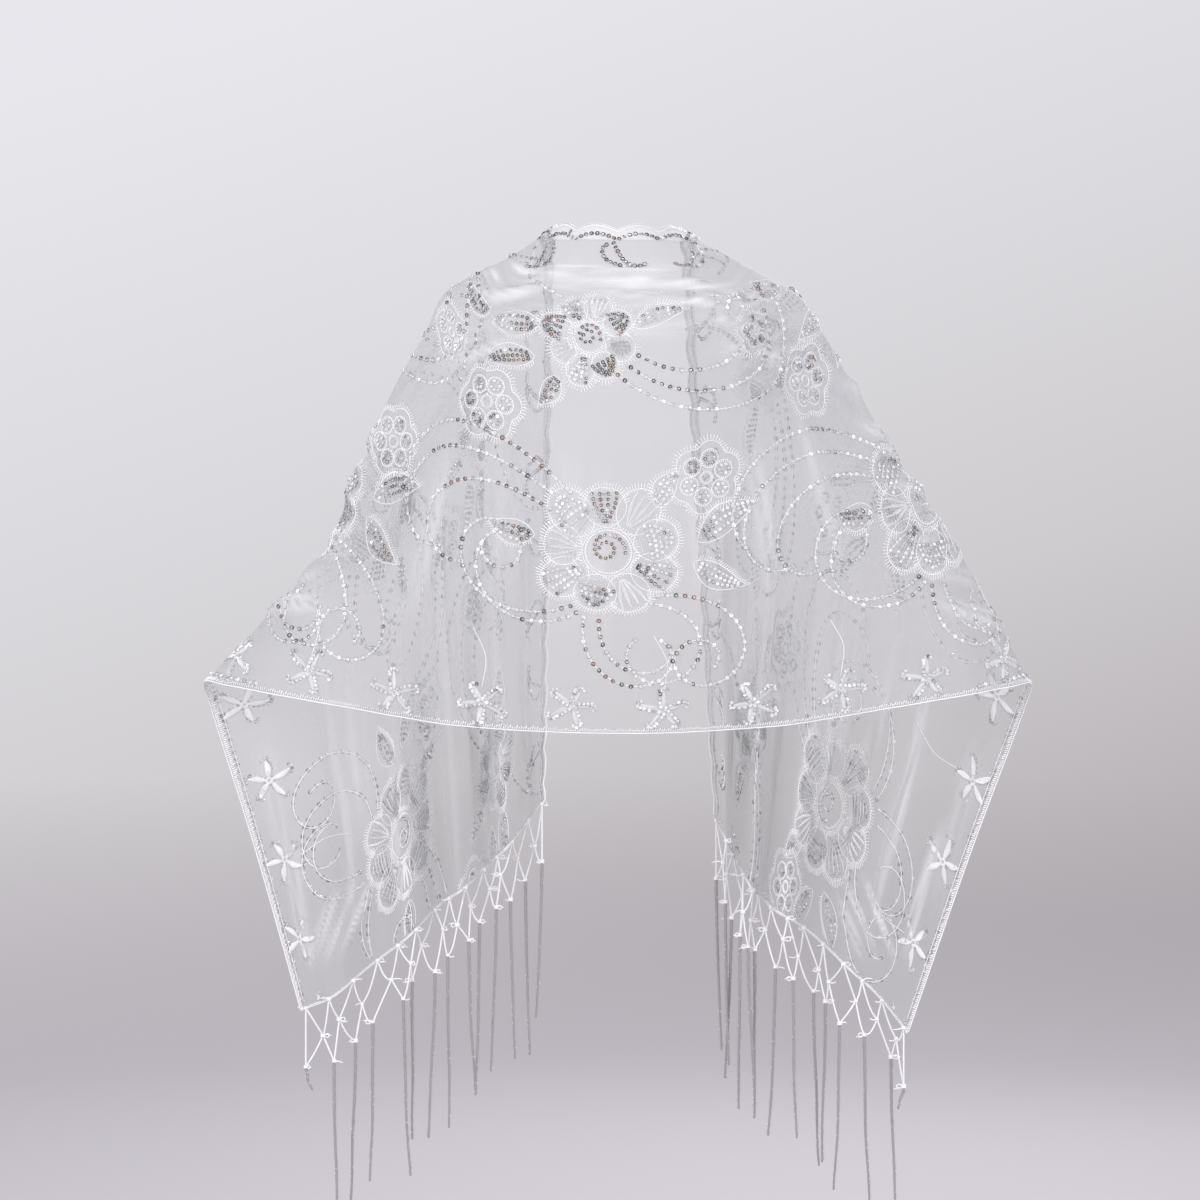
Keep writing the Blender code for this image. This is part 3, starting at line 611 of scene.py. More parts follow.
def smoothLine(controls, count=8):  # a smooth curve through a few points
    p = np.asarray(controls, dtype=float)
    p = np.vstack([2 * p[0] - p[1], p, 2 * p[-1] - p[-2]])
    out = []
    for i in range(1, len(p) - 2):
        t = (np.arange(count) / count)[:, None]
        square = (2 * p[i - 1] - 5 * p[i] + 4 * p[i + 1] - p[i + 2]) * t ** 2
        cube = (3 * p[i] - p[i - 1] - 3 * p[i + 1] + p[i + 2]) * t ** 3
        out.append(0.5 * (2 * p[i] + (p[i + 1] - p[i - 1]) * t + square + cube))
    return np.vstack(out + [p[-2][None]])


def scrollLine(start, heading, length, bendStart, bendEnd, power=1.6):
    # a curl: it turns by bendStart at its root and by bendEnd at its tip, in turns per metre
    t = np.linspace(0.0, 1.0, 90)
    bend = (bendStart + (bendEnd - bendStart) * t ** power) * 2 * math.pi
    angle = math.radians(heading) + np.r_[0.0, np.cumsum((bend[1:] + bend[:-1]) / 2) * length / 89]
    step = np.c_[np.cos(angle), np.sin(angle)] * length / 89
    return np.asarray(start) + np.r_[[(0.0, 0.0)], np.cumsum(step[:-1], axis=0)]


# Embroidery, drawn flat: x along the cloth, y up towards the neck edge
work = {
    "sequin": 0.0051,
    "smallSequin": 0.0042,
    "scrollPitch": 0.0098,
    "rowPitch": 0.0054,
    "blanketPitch": 0.0028,
    "blanketLength": 0.0070,
    "stitchWidth": 0.0015,
    "threadRadius": 0.00048,
    "lift": 0.0,
    "sequinLift": 0.0013,
    "threadStep": 0.0065,
    "lacing": 0.0042,
    "petalSatin": 0.0046,
    "starSatin": 0.0094,
    "edgePitch": 0.0062,
    "sprigPitch": 0.0056,
}
chance = random.Random(29)
threadLines = []
stitches = []       # (start, end, width) flat
sequins = []        # (place, size) flat


def putThread(points, place):
    threadLines.append(place(resample(points, work["threadStep"])))


def putSequins(points, place, pitch, size=None, thread=True):
    line = resample(points, pitch)
    if thread:
        putThread(points, place)
    spots = place(line)
    for spot in spots:
        sequins.append((spot[0], spot[1], size or work["sequin"]))


def putBlanket(points, place, length, pitch=None, side=1.0, lean=0.0):  # stitches that stand on a line
    line = resample(points, pitch or work["blanketPitch"])
    run = headings(line)
    out = np.c_[run[:, 1], -run[:, 0]] * side
    reach = length * np.array([chance.uniform(0.75, 1.15) for _ in line])
    ends = line + out * reach[:, None] + run * (reach * lean)[:, None]
    starts = place(line - out * length * 0.12)
    ends = place(ends)
    for a, b in zip(starts, ends):
        stitches.append((a[0], a[1], b[0], b[1], work["stitchWidth"]))


def putSatin(points, place, width, pitch=0.0016, taper=True):  # a dense bar of stitches across a line
    line = resample(points, pitch)
    run = headings(line)
    out = np.c_[run[:, 1], -run[:, 0]]
    t = np.linspace(0.0, 1.0, len(line))
    wide = width * (np.sin(math.pi * (0.12 + 0.76 * t)) if taper else np.ones_like(t)) / 2
    starts = place(line - out * wide[:, None] + run * 0.0012)
    ends = place(line + out * wide[:, None] - run * 0.0012)
    for a, b in zip(starts, ends):
        stitches.append((a[0], a[1], b[0], b[1], work["stitchWidth"] * 1.25))


def putLacing(left, right, place, pitch):  # one thread laced to and fro between two lines
    a, b = resample(left, pitch), resample(right, pitch)
    count = min(len(a), len(b))
    laced = np.empty((2 * count, 2))
    laced[0::2], laced[1::2] = a[:count], b[:count]
    threadLines.append(place(laced))


def placer(s, w, turn=0.0, flip=1.0):  # from a motif's own plane to the flat cloth
    cosine, sine = math.cos(math.radians(turn)), math.sin(math.radians(turn))

    def place(points):
        points = np.atleast_2d(points)
        x = points[:, 0] * flip
        y = points[:, 1]
        return np.c_[s + x * cosine - y * sine, w - (x * sine + y * cosine)]
    return place


def petalOutline(length, width, tip=0.62):  # from the root at 0,0 up to its tip at 0,length and back
    t = np.linspace(0.0, 1.0, 40)
    y = length * np.sin(t * math.pi / 2) ** 0.9
    x = width / 2 * np.sin(math.pi * t ** tip) ** 0.8
    side = np.c_[x, y]
    return np.vstack([side, (side * (-1, 1))[::-1][1:]])


def turned(points, degrees, shift=(0.0, 0.0)):
    cosine, sine = math.cos(math.radians(degrees)), math.sin(math.radians(degrees))
    x, y = np.asarray(points).T
    return np.c_[x * cosine - y * sine, x * sine + y * cosine] + np.asarray(shift)


def petal(place, root, heading, length, width, fill):
    outline = petalOutline(length, width)
    lobe = turned(outline, heading - 90.0, root)
    putThread(lobe, place)
    crown = lobe[int(len(lobe) * 0.20):int(len(lobe) * 0.80)]
    putBlanket(crown, place, work["blanketLength"], side=1.0)
    putBlanket(crown, place, work["blanketLength"] * 0.5, side=-1.0)
    inner = turned(petalOutline(length * 0.86, width * 0.74), heading - 90.0, root)
    middle = len(inner) // 2
    putLacing(inner[4:middle], inner[::-1][4:middle], place, work["lacing"])
    rows = {"arcs": 5, "fan": 4, "veins": 4}[fill]
    for k in range(rows):
        if fill == "arcs":
            f = 0.30 + 0.62 * (k + 0.5) / rows
            reach = width * 0.40 * math.sin(math.pi * min(0.97, f) ** 0.62) ** 0.8
            arc = [(-reach, length * f * 0.93), (0.0, length * f), (reach, length * f * 0.93)]
            arc = turned(smoothLine(arc, 6), heading - 90.0, root)
            putSequins(arc, place, work["rowPitch"], work["smallSequin"])
        else:
            spread = (k - (rows - 1) / 2) / max(1, rows - 1)
            wide = spread * width
            bar = [(wide * 0.10, length * 0.16), (wide * 0.46, length * 0.55), (wide * 0.58, length * 0.84)]
            bar = turned(smoothLine(bar, 6), heading - 90.0, root)
            if fill == "fan":
                putSequins(bar, place, work["rowPitch"], work["smallSequin"])
            else:
                putSatin(bar, place, work["petalSatin"])


def ringOf(radius, count=48):
    t = np.linspace(0.0, 2 * math.pi, count + 1)
    return np.c_[np.cos(t) * radius, np.sin(t) * radius]


def bigFlower(place, radius, petals, turn):
    core = radius * 0.36
    fills = ("arcs", "veins", "fan")
    for i in range(petals):
        heading = turn + 360.0 * i / petals
        root = (math.cos(math.radians(heading)) * core, math.sin(math.radians(heading)) * core)
        length = (radius - core) * (1.0 + 0.16 * math.sin(2.7 * i))
        petal(place, root, heading, length, radius * 0.60, fills[i % 3])
    putBlanket(ringOf(core), place, work["blanketLength"] * 0.95, side=1.0)
    putBlanket(ringOf(core * 0.94), place, work["blanketLength"] * 0.55, side=-1.0)
    putThread(ringOf(core), place)
    putThread(ringOf(core * 0.90), place)
    spiral = scrollLine((core * 0.66, 0.0), 90.0, core * 4.0, 0.22 / core, 0.62 / core)
    putSequins(spiral, place, work["rowPitch"], work["smallSequin"])


def lobedFlower(place, radius, lobes, turn):
    t = np.linspace(0.0, 2 * math.pi, 120)
    rim = radius * (0.80 + 0.20 * np.abs(np.cos(lobes * (t - math.radians(turn)) / 2)))
    outline = np.c_[np.cos(t) * rim, np.sin(t) * rim]
    putThread(outline, place)
    putBlanket(outline, place, work["blanketLength"])
    for i in range(lobes):
        heading = math.radians(turn) + 2 * math.pi * i / lobes
        middle = np.array((math.cos(heading), math.sin(heading))) * radius * 0.52
        ring = ringOf(radius * 0.26, 20) + middle
        putThread(ring, place)
        putBlanket(ring, place, 0.0030, pitch=0.0026, side=-1.0)
        ring = ringOf(radius * 0.13, 12) + middle
        putSequins(ring, place, work["rowPitch"] * 0.9, work["smallSequin"], thread=False)
    putSatin(ringOf(radius * 0.16, 16), place, 0.0040, taper=False)


def leaf(place, root, heading, length, width, bend):
    t = np.linspace(0.0, 1.0, 30)
    spine = np.c_[t * length, bend * np.sin(math.pi * t * 0.8)]
    wide = width / 2 * np.sin(math.pi * t ** 0.8)
    upper = turned(spine + np.c_[np.zeros_like(t), wide], heading, root)
    lower = turned(spine - np.c_[np.zeros_like(t), wide], heading, root)
    putThread(upper, place)
    putThread(lower, place)
    putBlanket(upper[2:], place, work["blanketLength"] * 0.8, side=-1.0, lean=0.4)
    for f in (-0.45, 0.05, 0.5):
        row = turned(spine + np.c_[np.zeros_like(t), wide * f], heading, root)[4:26]
        putSequins(row, place, work["rowPitch"], work["smallSequin"], thread=False)


def starFlower(place, size, turn):  # five short satin petals, each with sequins round its tip
    for i in range(5):
        heading = turn + 72.0 * i
        reach = size * (1.0 + 0.10 * math.sin(5.0 * i + turn))
        a = math.radians(heading)
        bar = np.array([(0.16, 0.0), (0.55, 0.04), (0.92, 0.0)]) * reach
        bar = smoothLine(bar, 5)
        putSatin(turned(bar, heading), place, work["starSatin"], pitch=0.0013)
        row = turned(bar + (0.0, size * 0.12), heading)
        putSequins(row, place, 0.0050, work["smallSequin"], thread=False)
        tip = np.array((math.cos(a), math.sin(a))) * reach * 0.90
        hook = ringOf(size * 0.20, 16)[2:11] + (size * 0.02, -size * 0.02)
        hook = turned(hook, heading - 100.0) + tip
        putSequins(hook, place, work["rowPitch"] * 0.66, work["smallSequin"], thread=False)
    putSatin(ringOf(size * 0.12, 10), place, 0.0036, taper=False)


def placerOn(place, shift):
    return lambda points: place(np.atleast_2d(points) + np.asarray(shift))


# Each spray: its big flower (radius, petals, turn), buds (place, radius, lobes, turn), leaves (root,
# heading, length, width, bend) and scrolls (root, heading, length, bend at the root and at the tip)
mainSpray = {  # big flower, bud, leaves and scrolls
    "flower": (0.076, 9, 14.0),
    "buds": (((0.104, 0.074), 0.038, 6, 20.0),),
    "leaves": (
        ((0.050, 0.048), 52.0, 0.044, 0.026, 0.005), ((0.094, 0.008), 22.0, 0.074, 0.032, 0.010),
        ((0.090, -0.014), -26.0, 0.066, 0.028, -0.008), ((-0.078, 0.012), 166.0, 0.052, 0.028, 0.006),
    ),
    "scrolls": (
        ((-0.040, 0.062), 138.0, 0.300, 0.55, 3.3), ((-0.052, 0.054), 146.0, 0.310, 0.55, 4.6),
        ((-0.062, 0.042), 152.0, 0.235, 0.8, 5.6), ((-0.040, -0.066), 204.0, 0.330, -1.3, -8.6),
        ((-0.034, -0.074), 214.0, 0.230, -2.0, -4.4), ((0.052, -0.052), 4.0, 0.340, -1.5, -8.2),
        ((0.046, -0.062), -8.0, 0.230, -2.6, -5.6), ((-0.026, -0.080), -98.0, 0.200, 1.6, 6.4),
        ((-0.010, -0.084), -92.0, 0.140, 1.8, 7.6),
    ),
}
upperSpray = {  # smaller flowers beside each other, leaves, and scrolls that trail away
    "flower": (0.050, 8, 30.0),
    "buds": (((-0.112, -0.084), 0.040, 6, 0.0), ((-0.196, -0.018), 0.028, 5, 30.0),),
    "leaves": (
        ((-0.052, 0.010), 172.0, 0.066, 0.030, 0.006), ((-0.058, -0.026), 196.0, 0.060, 0.026, -0.006),
        ((-0.034, -0.044), 236.0, 0.040, 0.022, 0.004), ((0.046, 0.012), 12.0, 0.060, 0.024, 0.008),
        ((-0.128, 0.020), 150.0, 0.058, 0.024, 0.008),
    ),
    "scrolls": (
        ((0.030, -0.038), -40.0, 0.420, 0.7, 4.2), ((0.044, -0.030), -38.0, 0.330, 0.9, 4.8),
        ((0.052, -0.018), -32.0, 0.230, 1.0, 6.4), ((-0.030, 0.046), 150.0, 0.210, -0.9, -7.4),
    ),
}


def drawSpray(place, parts):
    bigFlower(place, *parts["flower"])
    for shift, radius, lobes, turn in parts["buds"]:
        lobedFlower(placerOn(place, shift), radius, lobes, turn)
    for row in parts["leaves"]:
        leaf(place, *row)
    for start, heading, length, bendStart, bendEnd in parts["scrolls"]:
        putSequins(scrollLine(start, heading, length, bendStart, bendEnd), place, work["scrollPitch"])


# The pattern repeats along the cloth, a little turned and dropped by the listed amounts each time
layout = {"repeat": 0.385, "first": -0.010, "mainDrop": 0.374, "upperDrop": 0.147, "upperShift": -0.020,
          "stars": 0.0963, "starDrop": 0.571, "starSize": 0.0250, "endRow": 0.591,
          "tilts": (4.0, -3.0, 0.0, 3.0, -4.0, 2.0), "drops": (0.010, -0.004, 0.0, 0.006, -0.002, 0.004)}
for k in range(-2, 3):
    tilt, drop = layout["tilts"][k + 2], layout["drops"][k + 2]
    drawSpray(placer(layout["first"] + layout["repeat"] * k, layout["mainDrop"] + drop, tilt), mainSpray)
for k in range(-2, 4):
    tilt, drop = -layout["tilts"][k + 2], -layout["drops"][k + 2]
    middle = layout["first"] + layout["upperShift"] + layout["repeat"] * k
    drawSpray(placer(middle, layout["upperDrop"] + drop, tilt), upperSpray)
for k in range(-10, 10):
    star = placer(layout["stars"] * (k + 0.5), layout["starDrop"] - 0.003 * (k % 3))
    starFlower(star, layout["starSize"], 90.0 + 23.0 * k)
    stem = ((0.0, 0.022), (0.004 * (-1) ** k, 0.060), (-0.010 * (-1) ** k, 0.094))
    if k % 2 == 0:
        putThread(smoothLine(stem), placer(layout["stars"] * (k + 0.5), layout["starDrop"]))
for side in (-1, 1):
    row = np.array([(side * 0.395, -layout["endRow"]), (side * (half - 0.01), -layout["endRow"])])
    putSequins(row, placer(0.0, 0.0), 0.0078)

# Sequins that follow the scallops, with a small sprig below every second one
edgeLine = np.arange(-half + 0.008, half - 0.008, 0.002)
putSequins(np.c_[edgeLine, -(scallopEdge(edgeLine) + 0.0125)], placer(0.0, 0.0), work["edgePitch"])
for k in range(-9, 10):
    sprig = placer(k * cloth["scallopPitch"] * 2, 0.024, flip=1.0 if k % 2 else -1.0)
    putSequins(scrollLine((0.004, 0.0), -112.0, 0.050, 0.0, -16.0), sprig, work["sprigPitch"])
    putSequins(scrollLine((-0.008, -0.030), 12.0, 0.044, 2.0, 20.0), sprig, work["sprigPitch"])
print("embroidery drawn:", len(stitches), "stitches,", len(sequins), "sequins,", len(threadLines), "threads")

margin = 0.004


def inside(s, w):
    return (abs(s) < half - margin) & (w > margin) & (w < cloth["width"] - margin)


stitchArray = np.array(stitches)
keep = inside(stitchArray[:, 0], stitchArray[:, 1]) & inside(stitchArray[:, 2], stitchArray[:, 3])
stitchArray = stitchArray[keep]


def spindles(name, starts, ends, widths, up, finish, slot, rings=3):
    run = ends - starts
    size = np.linalg.norm(run, axis=1, keepdims=True)
    x = run / size
    y = unit(np.cross(up, x))
    z = np.cross(x, y)
    axes = np.stack([x * size * 1.05, y * widths[:, None], z * widths[:, None] * 0.95], axis=1)
    return manyCopies(name, stitchTemplate(rings), (starts + ends) / 2, axes, finish, slot)


lift = work["lift"]
middles = (stitchArray[:, 0:2] + stitchArray[:, 2:4]) / 2
spindles("blanketStitches", onCloth(stitchArray[:, 0:2], lift), onCloth(stitchArray[:, 2:4], lift),
         stitchArray[:, 4], readGrid(normals, middles), threadFinish, "stitching")
trimmed = []
for line in threadLines:
    good = inside(line[:, 0], line[:, 1])
    run = []
    for point, fine in zip(line, good):
        if fine:
            run.append(point)
        else:
            if len(run) > 1:
                trimmed.append(np.array(run))
            run = []
    if len(run) > 1:
        trimmed.append(np.array(run))
threadPiece("couchedThreads", [onCloth(line, lift * 0.8) for line in trimmed], work["threadRadius"],
            threadFinish, "stitching")
print("thread laid")

# Sequins: each cupped disc tips a little on its own stitch
glitter = {"tip": 0.26, "neckDepth": 0.055, "neckHalf": 0.3, "middle": -0.07, "middleHalf": 0.14,
           "top": (-0.06, 0.14), "topHalf": (0.16, 0.07), "tails": 0.46, "stars": 0.545,
           "starPicks": (0.0, 0.72), "neckPicks": (0.30, 0.80), "stitchWidth": 0.0009}
spots = np.array(sequins)
spots = spots[inside(spots[:, 0], spots[:, 1])]
s, w = spots[:, 0], spots[:, 1]
rng = np.random.default_rng(5)
count = len(spots)
base = onCloth(spots[:, :2], work["sequinLift"])
up = readGrid(normals, spots[:, :2])
tip = unit(up + rng.normal(0.0, glitter["tip"], (count, 3)))
x = unit(np.cross(tip, rng.normal(0.0, 1.0, (count, 3))))
y = np.cross(tip, x)
size = (spots[:, 2] * rng.uniform(0.92, 1.06, count))[:, None]
axes = np.stack([x * size, y * size, tip * size], axis=1)
drift = np.sin(s * 31.0 + 1.3) + np.sin(w * 37.0 - s * 17.0 + 0.4) + rng.normal(0.0, 0.8, count)
nearNeck = np.exp(-(w / glitter["neckDepth"]) ** 4) * (np.abs(s) < glitter["neckHalf"])
nearMiddle = np.exp(-((s - glitter["middle"]) / glitter["middleHalf"]) ** 2)
(topS, topW), (topLong, topDeep) = glitter["top"], glitter["topHalf"]
nearTop = nearNeck + np.exp(-((s - topS) / topLong) ** 4 - ((w - topW) / topDeep) ** 4)
# where the rings get darker painted reflections: near the neck, in the middle of the front, and where the
# drift falls
paintedDim = (nearNeck + nearMiddle + 0.25 * drift) * (w < 0.55)
patch = np.sin(s * 71.0 + 2.1) + np.sin(w * 83.0 - s * 38.0 + 0.7) + rng.normal(0.0, 0.6, count)
pick = np.argsort(np.argsort(patch)) / count  # rings of one painted reflection lie near each other
onTail = np.abs(s) > glitter["tails"]
pick = np.where(onTail, rng.uniform(0.0, 1.0, count), pick)
# The stars get white painted glints and pale painted reflections, and silver rings and dark and copper
# painted reflections lie along the neck
pick = np.where(w > glitter["stars"], rng.uniform(*glitter["starPicks"], count), pick)
pick = np.where(nearNeck > 0.4, rng.uniform(*glitter["neckPicks"], count), pick)
taken = np.zeros(count)
for kind, traits in sequinLooks.items():
    look = dict(zip(sequinTraits, traits))
    share = np.where(paintedDim < 0.6, look["paintedLit"], np.where(nearTop < 0.6, look["paintedDim"], look["paintedDimmer"]))
    share = np.where(onTail, look["tail"], share)
    chosen = (pick >= taken) & (pick < taken + share)
    taken = taken + share
    manyCopies(kind + "Sequins", sequinTemplate(), base[chosen], axes[chosen],
               sequinMaterial(kind + "Sequin", look), "sequin", radial=True)
across = unit(x + rng.normal(0.0, 0.3, (count, 3)))
across = unit(across - up * np.sum(across * up, axis=1, keepdims=True))
reach = size * 0.52
stitchTop = base + tip * size * 0.10
spindles("sequinStitches", stitchTop - across * reach * 0.15, stitchTop + across * reach,
         np.full(count, glitter["stitchWidth"]), up, threadFinish, "stitching", rings=2)
print("sequins sewn:", count)

# Hems
overlock = {"pitch": 0.0024, "hemWidth": 0.0056, "endWidth": 0.0022, "thread": 0.0012, "inset": 0.0012,
            "rimInset": 0.0008, "rimRadius": 0.0008, "scallopStitch": 0.0050}


def overlockHem(name, flatLine, inward, width, finish, slot):  # slanted loops over the raw edge
    line = resample(flatLine, overlock["pitch"])
    run = headings(line)
    out = np.asarray(inward)
    near = np.column_stack([line[:, 0], line[:, 1]])
    reach = width * np.array([chance.uniform(0.65, 1.2) for _ in line])[:, None]
    far = near + out * reach + run * overlock["pitch"] * 0.8
    nearPlaces, farPlaces = onCloth(near), onCloth(far)
    upNear = readGrid(normals, near)
    loops = []
    for i in range(len(line)):
        for face in (1, -1):
            loops.append((nearPlaces[i], farPlaces[i] + upNear[i] * 0.0009 * face, upNear[i]))
    starts = np.array([a for a, b, c in loops])
    ends = np.array([b for a, b, c in loops])
    ups = np.array([c for a, b, c in loops])
    return spindles(name, starts, ends, np.full(len(starts), overlock["thread"] * 1.9), ups, finish, slot)


hemLine = np.array([(side * half, cloth["width"] - overlock["inset"]) for side in (-1, 1)])
hemEdge = overlockHem("hemEdge", hemLine, (0.0, -1.0), overlock["hemWidth"], threadFinish, "stitching")
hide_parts("front_hem_edge", "left_hem_edge", "right_hem_edge")
for side, label in ((-1, "left"), (1, "right")):
    endS = side * (half - overlock["inset"])
    endLine = np.array([(endS, 0.002), (endS, cloth["width"] - 0.002)])
    overlockHem(label + "EndHem", endLine, (-side, 0.0), overlock["endWidth"], threadFinish, "stitching")
along = np.arange(-half, half, 0.0025)
rimFlat = np.c_[along, scallopEdge(along)]
hemFlat = np.c_[along, np.full_like(along, cloth["width"] - overlock["rimInset"])]
rims = [onCloth(rimFlat), onCloth(rimFlat + (0.0, 0.0022), 0.0004), onCloth(hemFlat)]
for side in (-1, 1):
    acrossEnd = np.linspace(0.001, cloth["width"] - 0.001, 220)
    rims.append(onCloth(np.c_[np.full_like(acrossEnd, side * (half - overlock["rimInset"])), acrossEnd]))
threadPiece("edgeThreads", rims, overlock["rimRadius"], threadFinish, "stitching")
bandLine = np.arange(-half, half, 0.0022)
edgeFlat = np.c_[bandLine, scallopEdge(bandLine)]
edgeRun = headings(edgeFlat)
edgeOut = np.c_[-edgeRun[:, 1], edgeRun[:, 0]]
edgeEnds = onCloth(edgeFlat + edgeOut * overlock["scallopStitch"], 0.0012)
spindles("scallopStitches", onCloth(edgeFlat), edgeEnds, np.full(len(edgeFlat), overlock["thread"]),
         readGrid(normals, edgeFlat), threadFinish, "stitching")
print("hems sewn")

# Knotted net fringe and its strands
fringe = {"roots": 14, "inset": 0.010, "drop": 0.033, "strand": 0.188, "corner": 0.025, "uneven": 0.06,
          "lean": 0.008, "jitter": 0.0062, "slack": (-0.0010, 0.0085), "knotRing": 0.0021,
          "strayEnd": (0.006, 0.013), "tip": 0.62, "hairs": 170, "hairLength": (0.0022, 0.0036),
          "hairWidth": 0.00045, "flecks": 7, "fleckWidth": 0.0012}
netCord = {"plies": 2, "radius": 0.00072, "offset": 0.00052, "pitch": 0.0052}
strandCord = {"plies": 3, "radius": 0.00122, "offset": 0.00108, "pitch": 0.0092}
pointsPerTurn = 4.5


def slack(a, b, depth, count=8):  # a slack leg between two knots
    t = np.linspace(0.0, 1.0, count)[:, None]
    return a + (b - a) * t + np.array((0.0, 0.0, -depth)) * np.sin(math.pi * t)


def twisted(path, cord, phase=0.0, tip=1.0):  # the plies of a twisted cord along a path
    lengths = np.r_[0.0, np.cumsum(np.linalg.norm(np.diff(path, axis=0), axis=1))]
    count = max(3, int(lengths[-1] / cord["pitch"] * pointsPerTurn))
    at = np.linspace(0.0, lengths[-1], count)
    line = np.column_stack([np.interp(at, lengths, path[:, k]) for k in range(3)])
    run = unit(np.gradient(line, axis=0))
    one = unit(np.cross(run, (0.0, 1.0, 0.0)))
    two = np.cross(run, one)
    thin = np.linspace(1.0, tip, count)[:, None]
    plies = []
    for k in range(cord["plies"]):
        angle = (at / cord["pitch"] * 2 * math.pi + phase + 2 * math.pi * k / cord["plies"])[:, None]
        ply = line + (one * np.cos(angle) + two * np.sin(angle)) * cord["offset"] * thin
        plies.append(np.c_[ply, thin])
    return plies


def knotTemplate():  # two rings of thread drawn round a cord
    bm = bmesh.new()
    for level, tilt in ((0.45, 14.0), (-0.45, -18.0)):
        made = bmesh.ops.create_circle(bm, segments=6, radius=0.5)
        ring = made["verts"]
        upright, tipped = Matrix.Rotation(math.pi / 2, 3, "X"), Matrix.Rotation(math.radians(tilt), 3, "X")
        bmesh.ops.rotate(bm, verts=ring, cent=(0, 0, 0), matrix=upright)
        bmesh.ops.translate(bm, verts=ring, vec=(0.75, 0.0, 0.0))
        bm.edges.index_update()
        edges = sorted({edge for vertex in ring for edge in vertex.link_edges}, key=lambda edge: edge.index)
        before = set(bm.verts) - set(ring)
        bmesh.ops.spin(bm, geom=ring + edges, cent=(0, 0, 0), axis=(0, 0, 1), angle=2 * math.pi, steps=9,
                       use_merge=True)
        turnedVerts = [vertex for vertex in bm.verts if vertex not in before]
        bmesh.ops.rotate(bm, verts=turnedVerts, cent=(0, 0, 0), matrix=tipped)
        bmesh.ops.translate(bm, verts=turnedVerts, vec=(0.0, 0.0, level))
    bmesh.ops.recalc_face_normals(bm, faces=bm.faces)
    bm.verts.index_update()
    return bm


